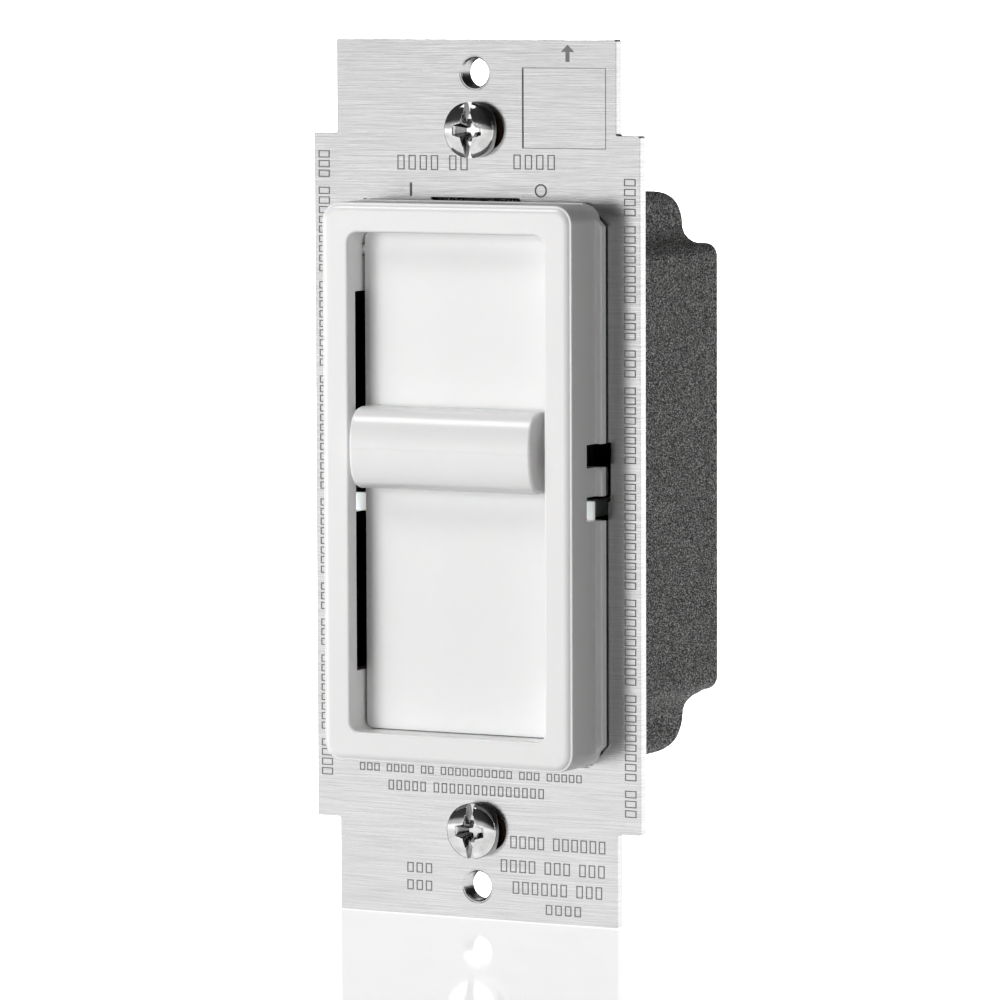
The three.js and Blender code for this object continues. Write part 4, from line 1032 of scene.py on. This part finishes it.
def join(name, parts):
    """One object out of several, each kept as its own shell with its own shading."""
    for part in parts:
        part.select_set(True)
    with bpy.context.temp_override(active_object=parts[0], selected_editable_objects=parts):
        bpy.ops.object.join()
    parts[0].name = name + "_piece"
    return parts[0]


def make_retainers():
    """The square fibre washers behind the strap that hold the two mounting screws."""
    half, front, back = RETAINER["half"], RETAINER["front"], RETAINER["back"]
    for name, z in (("top", SCREW_Z), ("bottom", -SCREW_Z)):
        square = rounded_rectangle(half, half, RETAINER["corner"], 5, 0, z)
        loops = [square, circle(0, z, RETAINER["hole"], 36)]
        washer = plate("retainer_" + name, loops, front, back, RETAINER["edge"])
        soften(washer, 0)
        dress(washer, "fibre", "screw_retainer_" + name)


# ---- housing

def arc_inset(radius, along):
    """How far a rounded edge stands back at a place along it, 0 where the arc begins."""
    return radius - math.sqrt(max(radius ** 2 - along ** 2, 0.0))


def ear_levels():
    """The ear's (height, half width, depth): flared at its root, rounded over above and behind."""
    levels = []
    for height, spread in EAR_FLARE:
        left = EAR["fillet"] - max(height, 0.0)
        levels.append((height, EAR["x"] + spread, EAR["depth"] + arc_inset(EAR["fillet"], left)))
    tall = EAR["top"] - HOUSING["z"]
    reach = EAR["depth"] - EAR["flat"]
    for a in quarter(14):
        height = EAR["top"] - EAR["round"] - HOUSING["z"] + EAR["round"] * math.sin(a)
        inset = arc_inset(EAR["side"], max(height - (tall - EAR["side"]), 0.0))
        levels.append((height, EAR["x"] - EAR["side_inset"] * inset, EAR["flat"] + reach * math.cos(a)))
    return levels


def ear_rings(end):
    """The ear above (1) or below (-1) the body, as level rings."""
    radius = EAR["corner"]
    loops = []
    for height, half, depth in ear_levels():
        z = end * (HOUSING["z"] + height)
        corner = [(half - radius + radius * math.sin(a), depth - radius + radius * math.cos(a))
                  for a in quarter(5)]
        left = [(-half, 0)] + [(-x, y) for x, y in reversed(corner)]
        loops.append([(x, y, z) for x, y in left + corner + [(half, 0)]])
    return loops


def body_rings():
    """The housing's main block, rounded toward its back."""
    x, z, back, radius, corner = (HOUSING[k] for k in ("x", "z", "back", "round", "corner"))
    rings = [ring(rounded_rectangle(x, z, corner, 6), 0.0)]
    for a in quarter(6):
        inset = radius * (1 - math.cos(a))
        y = back - radius + radius * math.sin(a)
        outline = rounded_rectangle(x - inset, z - inset, corner - HOUSING["corner_inset"] * inset, 6)
        rings.append(ring(outline, y))
    return rings


def make_housing():
    """The housing with its ears, hollow inside, with its wire exits, screw bores and stake bores."""
    body = made("housing", skin(body_rings()))
    for end in (1, -1):
        union(body, [made("ear", skin(ear_rings(end)))])
    body.data.transform(Matrix.Translation((0, 0, HOUSING["middle"] * MM)))
    tools = [box_tool(CAVITY["low"], CAVITY["high"]), box_tool(STEM_CHANNEL["low"], STEM_CHANNEL["high"])]
    tools += [rod_tool(WIRE_EXIT["spacing"] * i, WIRE_EXIT["z"], WIRE_EXIT["radius"], WIRE_EXIT["from"],
                       WIRE_EXIT["to"]) for i in (-1, 0, 1)]
    tools += [rod_tool(x, z, SCREW_BORE["radius"], -CUT_OVER, SCREW_BORE["end"], 20)
              for x, z in HOUSING_SCREWS]
    tools += [rod_tool(x, z, STAKE_BORE["radius"], -CUT_OVER, STAKE_BORE["end"], 20) for x, z in STAKES]
    boolean(body, tools)
    soften(body, HOUSING["edge"], 3)
    dress(body, "housing", "rear_housing")


# ---- assembly

# The CAD nodes that are shown as they are, under the finish that each gets.
NODE_FINISHES = {
    "tinned": ("ground_lug", "collector_strip", "lead_terminal_load", "lead_terminal_line",
               "lead_terminal_traveller"),
    "black": ("slide_carriage", "potentiometer_body", "push_switch_body", "triac"),
    "bronze": ("wiper_contact", "light_selector_contact"),
    "steel": ("switch_spring", "triac_rivet", "housing_screw_top_left", "housing_screw_top_right",
              "housing_screw_bottom_left", "housing_screw_bottom_right"),
    "sheet": ("insulating_sheet",), "laminate": ("circuit_board",), "carbon": ("resistive_strip",),
    "white": ("switch_plunger",), "thermal": ("triac_insulator",), "ferrite": ("choke_core",),
    "copper": ("choke_winding",), "amber": ("film_capacitor",),
    "blue": ("timing_capacitor", "trim_potentiometer"), "resistor": ("timing_resistor", "lamp_resistor"),
    "glass": ("diac",), "lamp": ("locator_lamp_left", "locator_lamp_right"),
}

MATERIALS = {
    "aluminium": brushed_aluminium(), "white": gloss_white(), "housing": grained_housing(),
    "chrome": plated_screw(), "fibre": vulcanised_fibre(), "laminate": board_laminate(),
    "copper": enamelled_copper(), "light_pipe": milky_clear("milky_clear"),
    # The pipe ends glow with painted light, so they look lit where they sit in the frame's shadow.
    "pipe_end": milky_clear("milky_end_painted_glow", Emission_Color=(1, 1, 0.98, 1), Emission_Strength=0.3),
    "mark": plain_metal("stamped_mark", shade(0.16), 0.4, 0.6),
    "tinned": plain_metal("tinned", shade(0.6), 0.22, 0.4),
    "bronze": plain_metal("bronze", (0.5, 0.3, 0.11, 1), 0.25, 0.45),
    "steel": plain_metal("steel", shade(0.42), 0.25, 0.45),
    "black": plain_plastic("black_plastic", shade(0.0015), 0.6, 0.9, Specular_IOR_Level=0.04),
    # The insulating sheet's own finish, also used as painted shade on the frame's slot walls.
    "sheet": plain_plastic("insulating_sheet", shade(0.001), 0.7, 0.9, Specular_IOR_Level=0.02),
    "carbon": plain_plastic("carbon_track", shade(0.015), 0.3, 0.5),
    "thermal": plain_plastic("thermal_pad", shade(0.006), 0.7, 0.9, Specular_IOR_Level=0.1),
    "ferrite": plain_plastic("ferrite", (0.10, 0.13, 0.09, 1), 0.45, 0.7),
    "amber": plain_plastic("amber_case", (0.42, 0.15, 0.02, 1), 0.2, 0.4),
    "blue": plain_plastic("blue_case", (0.03, 0.11, 0.28, 1), 0.25, 0.45),
    "resistor": plain_plastic("resistor_body", (0.5, 0.35, 0.18, 1), 0.4, 0.6),
    "glass": plain_plastic("diac_glass", (0.35, 0.06, 0.03, 1), 0.1, 0.25),
    "lamp": plain_plastic("lamp_lens", (0.25, 0.5, 0.15, 1), 0.1, 0.25),
}


def finish_nodes():
    """Gives the CAD nodes that are shown as they are their own finishes."""
    for finish, nodes in NODE_FINISHES.items():
        for node in nodes:
            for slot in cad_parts[node].material_slots:
                slot.material = MATERIALS[finish]


make_camera()
make_stage()
make_strap()
make_marks()
make_bezel()
make_pad()
make_bar()
make_light_pipes()
make_lever()
make_screw("mounting_screw_top", SCREW_Z)
make_screw("mounting_screw_bottom", -SCREW_Z)
make_retainers()
make_housing()
finish_nodes()
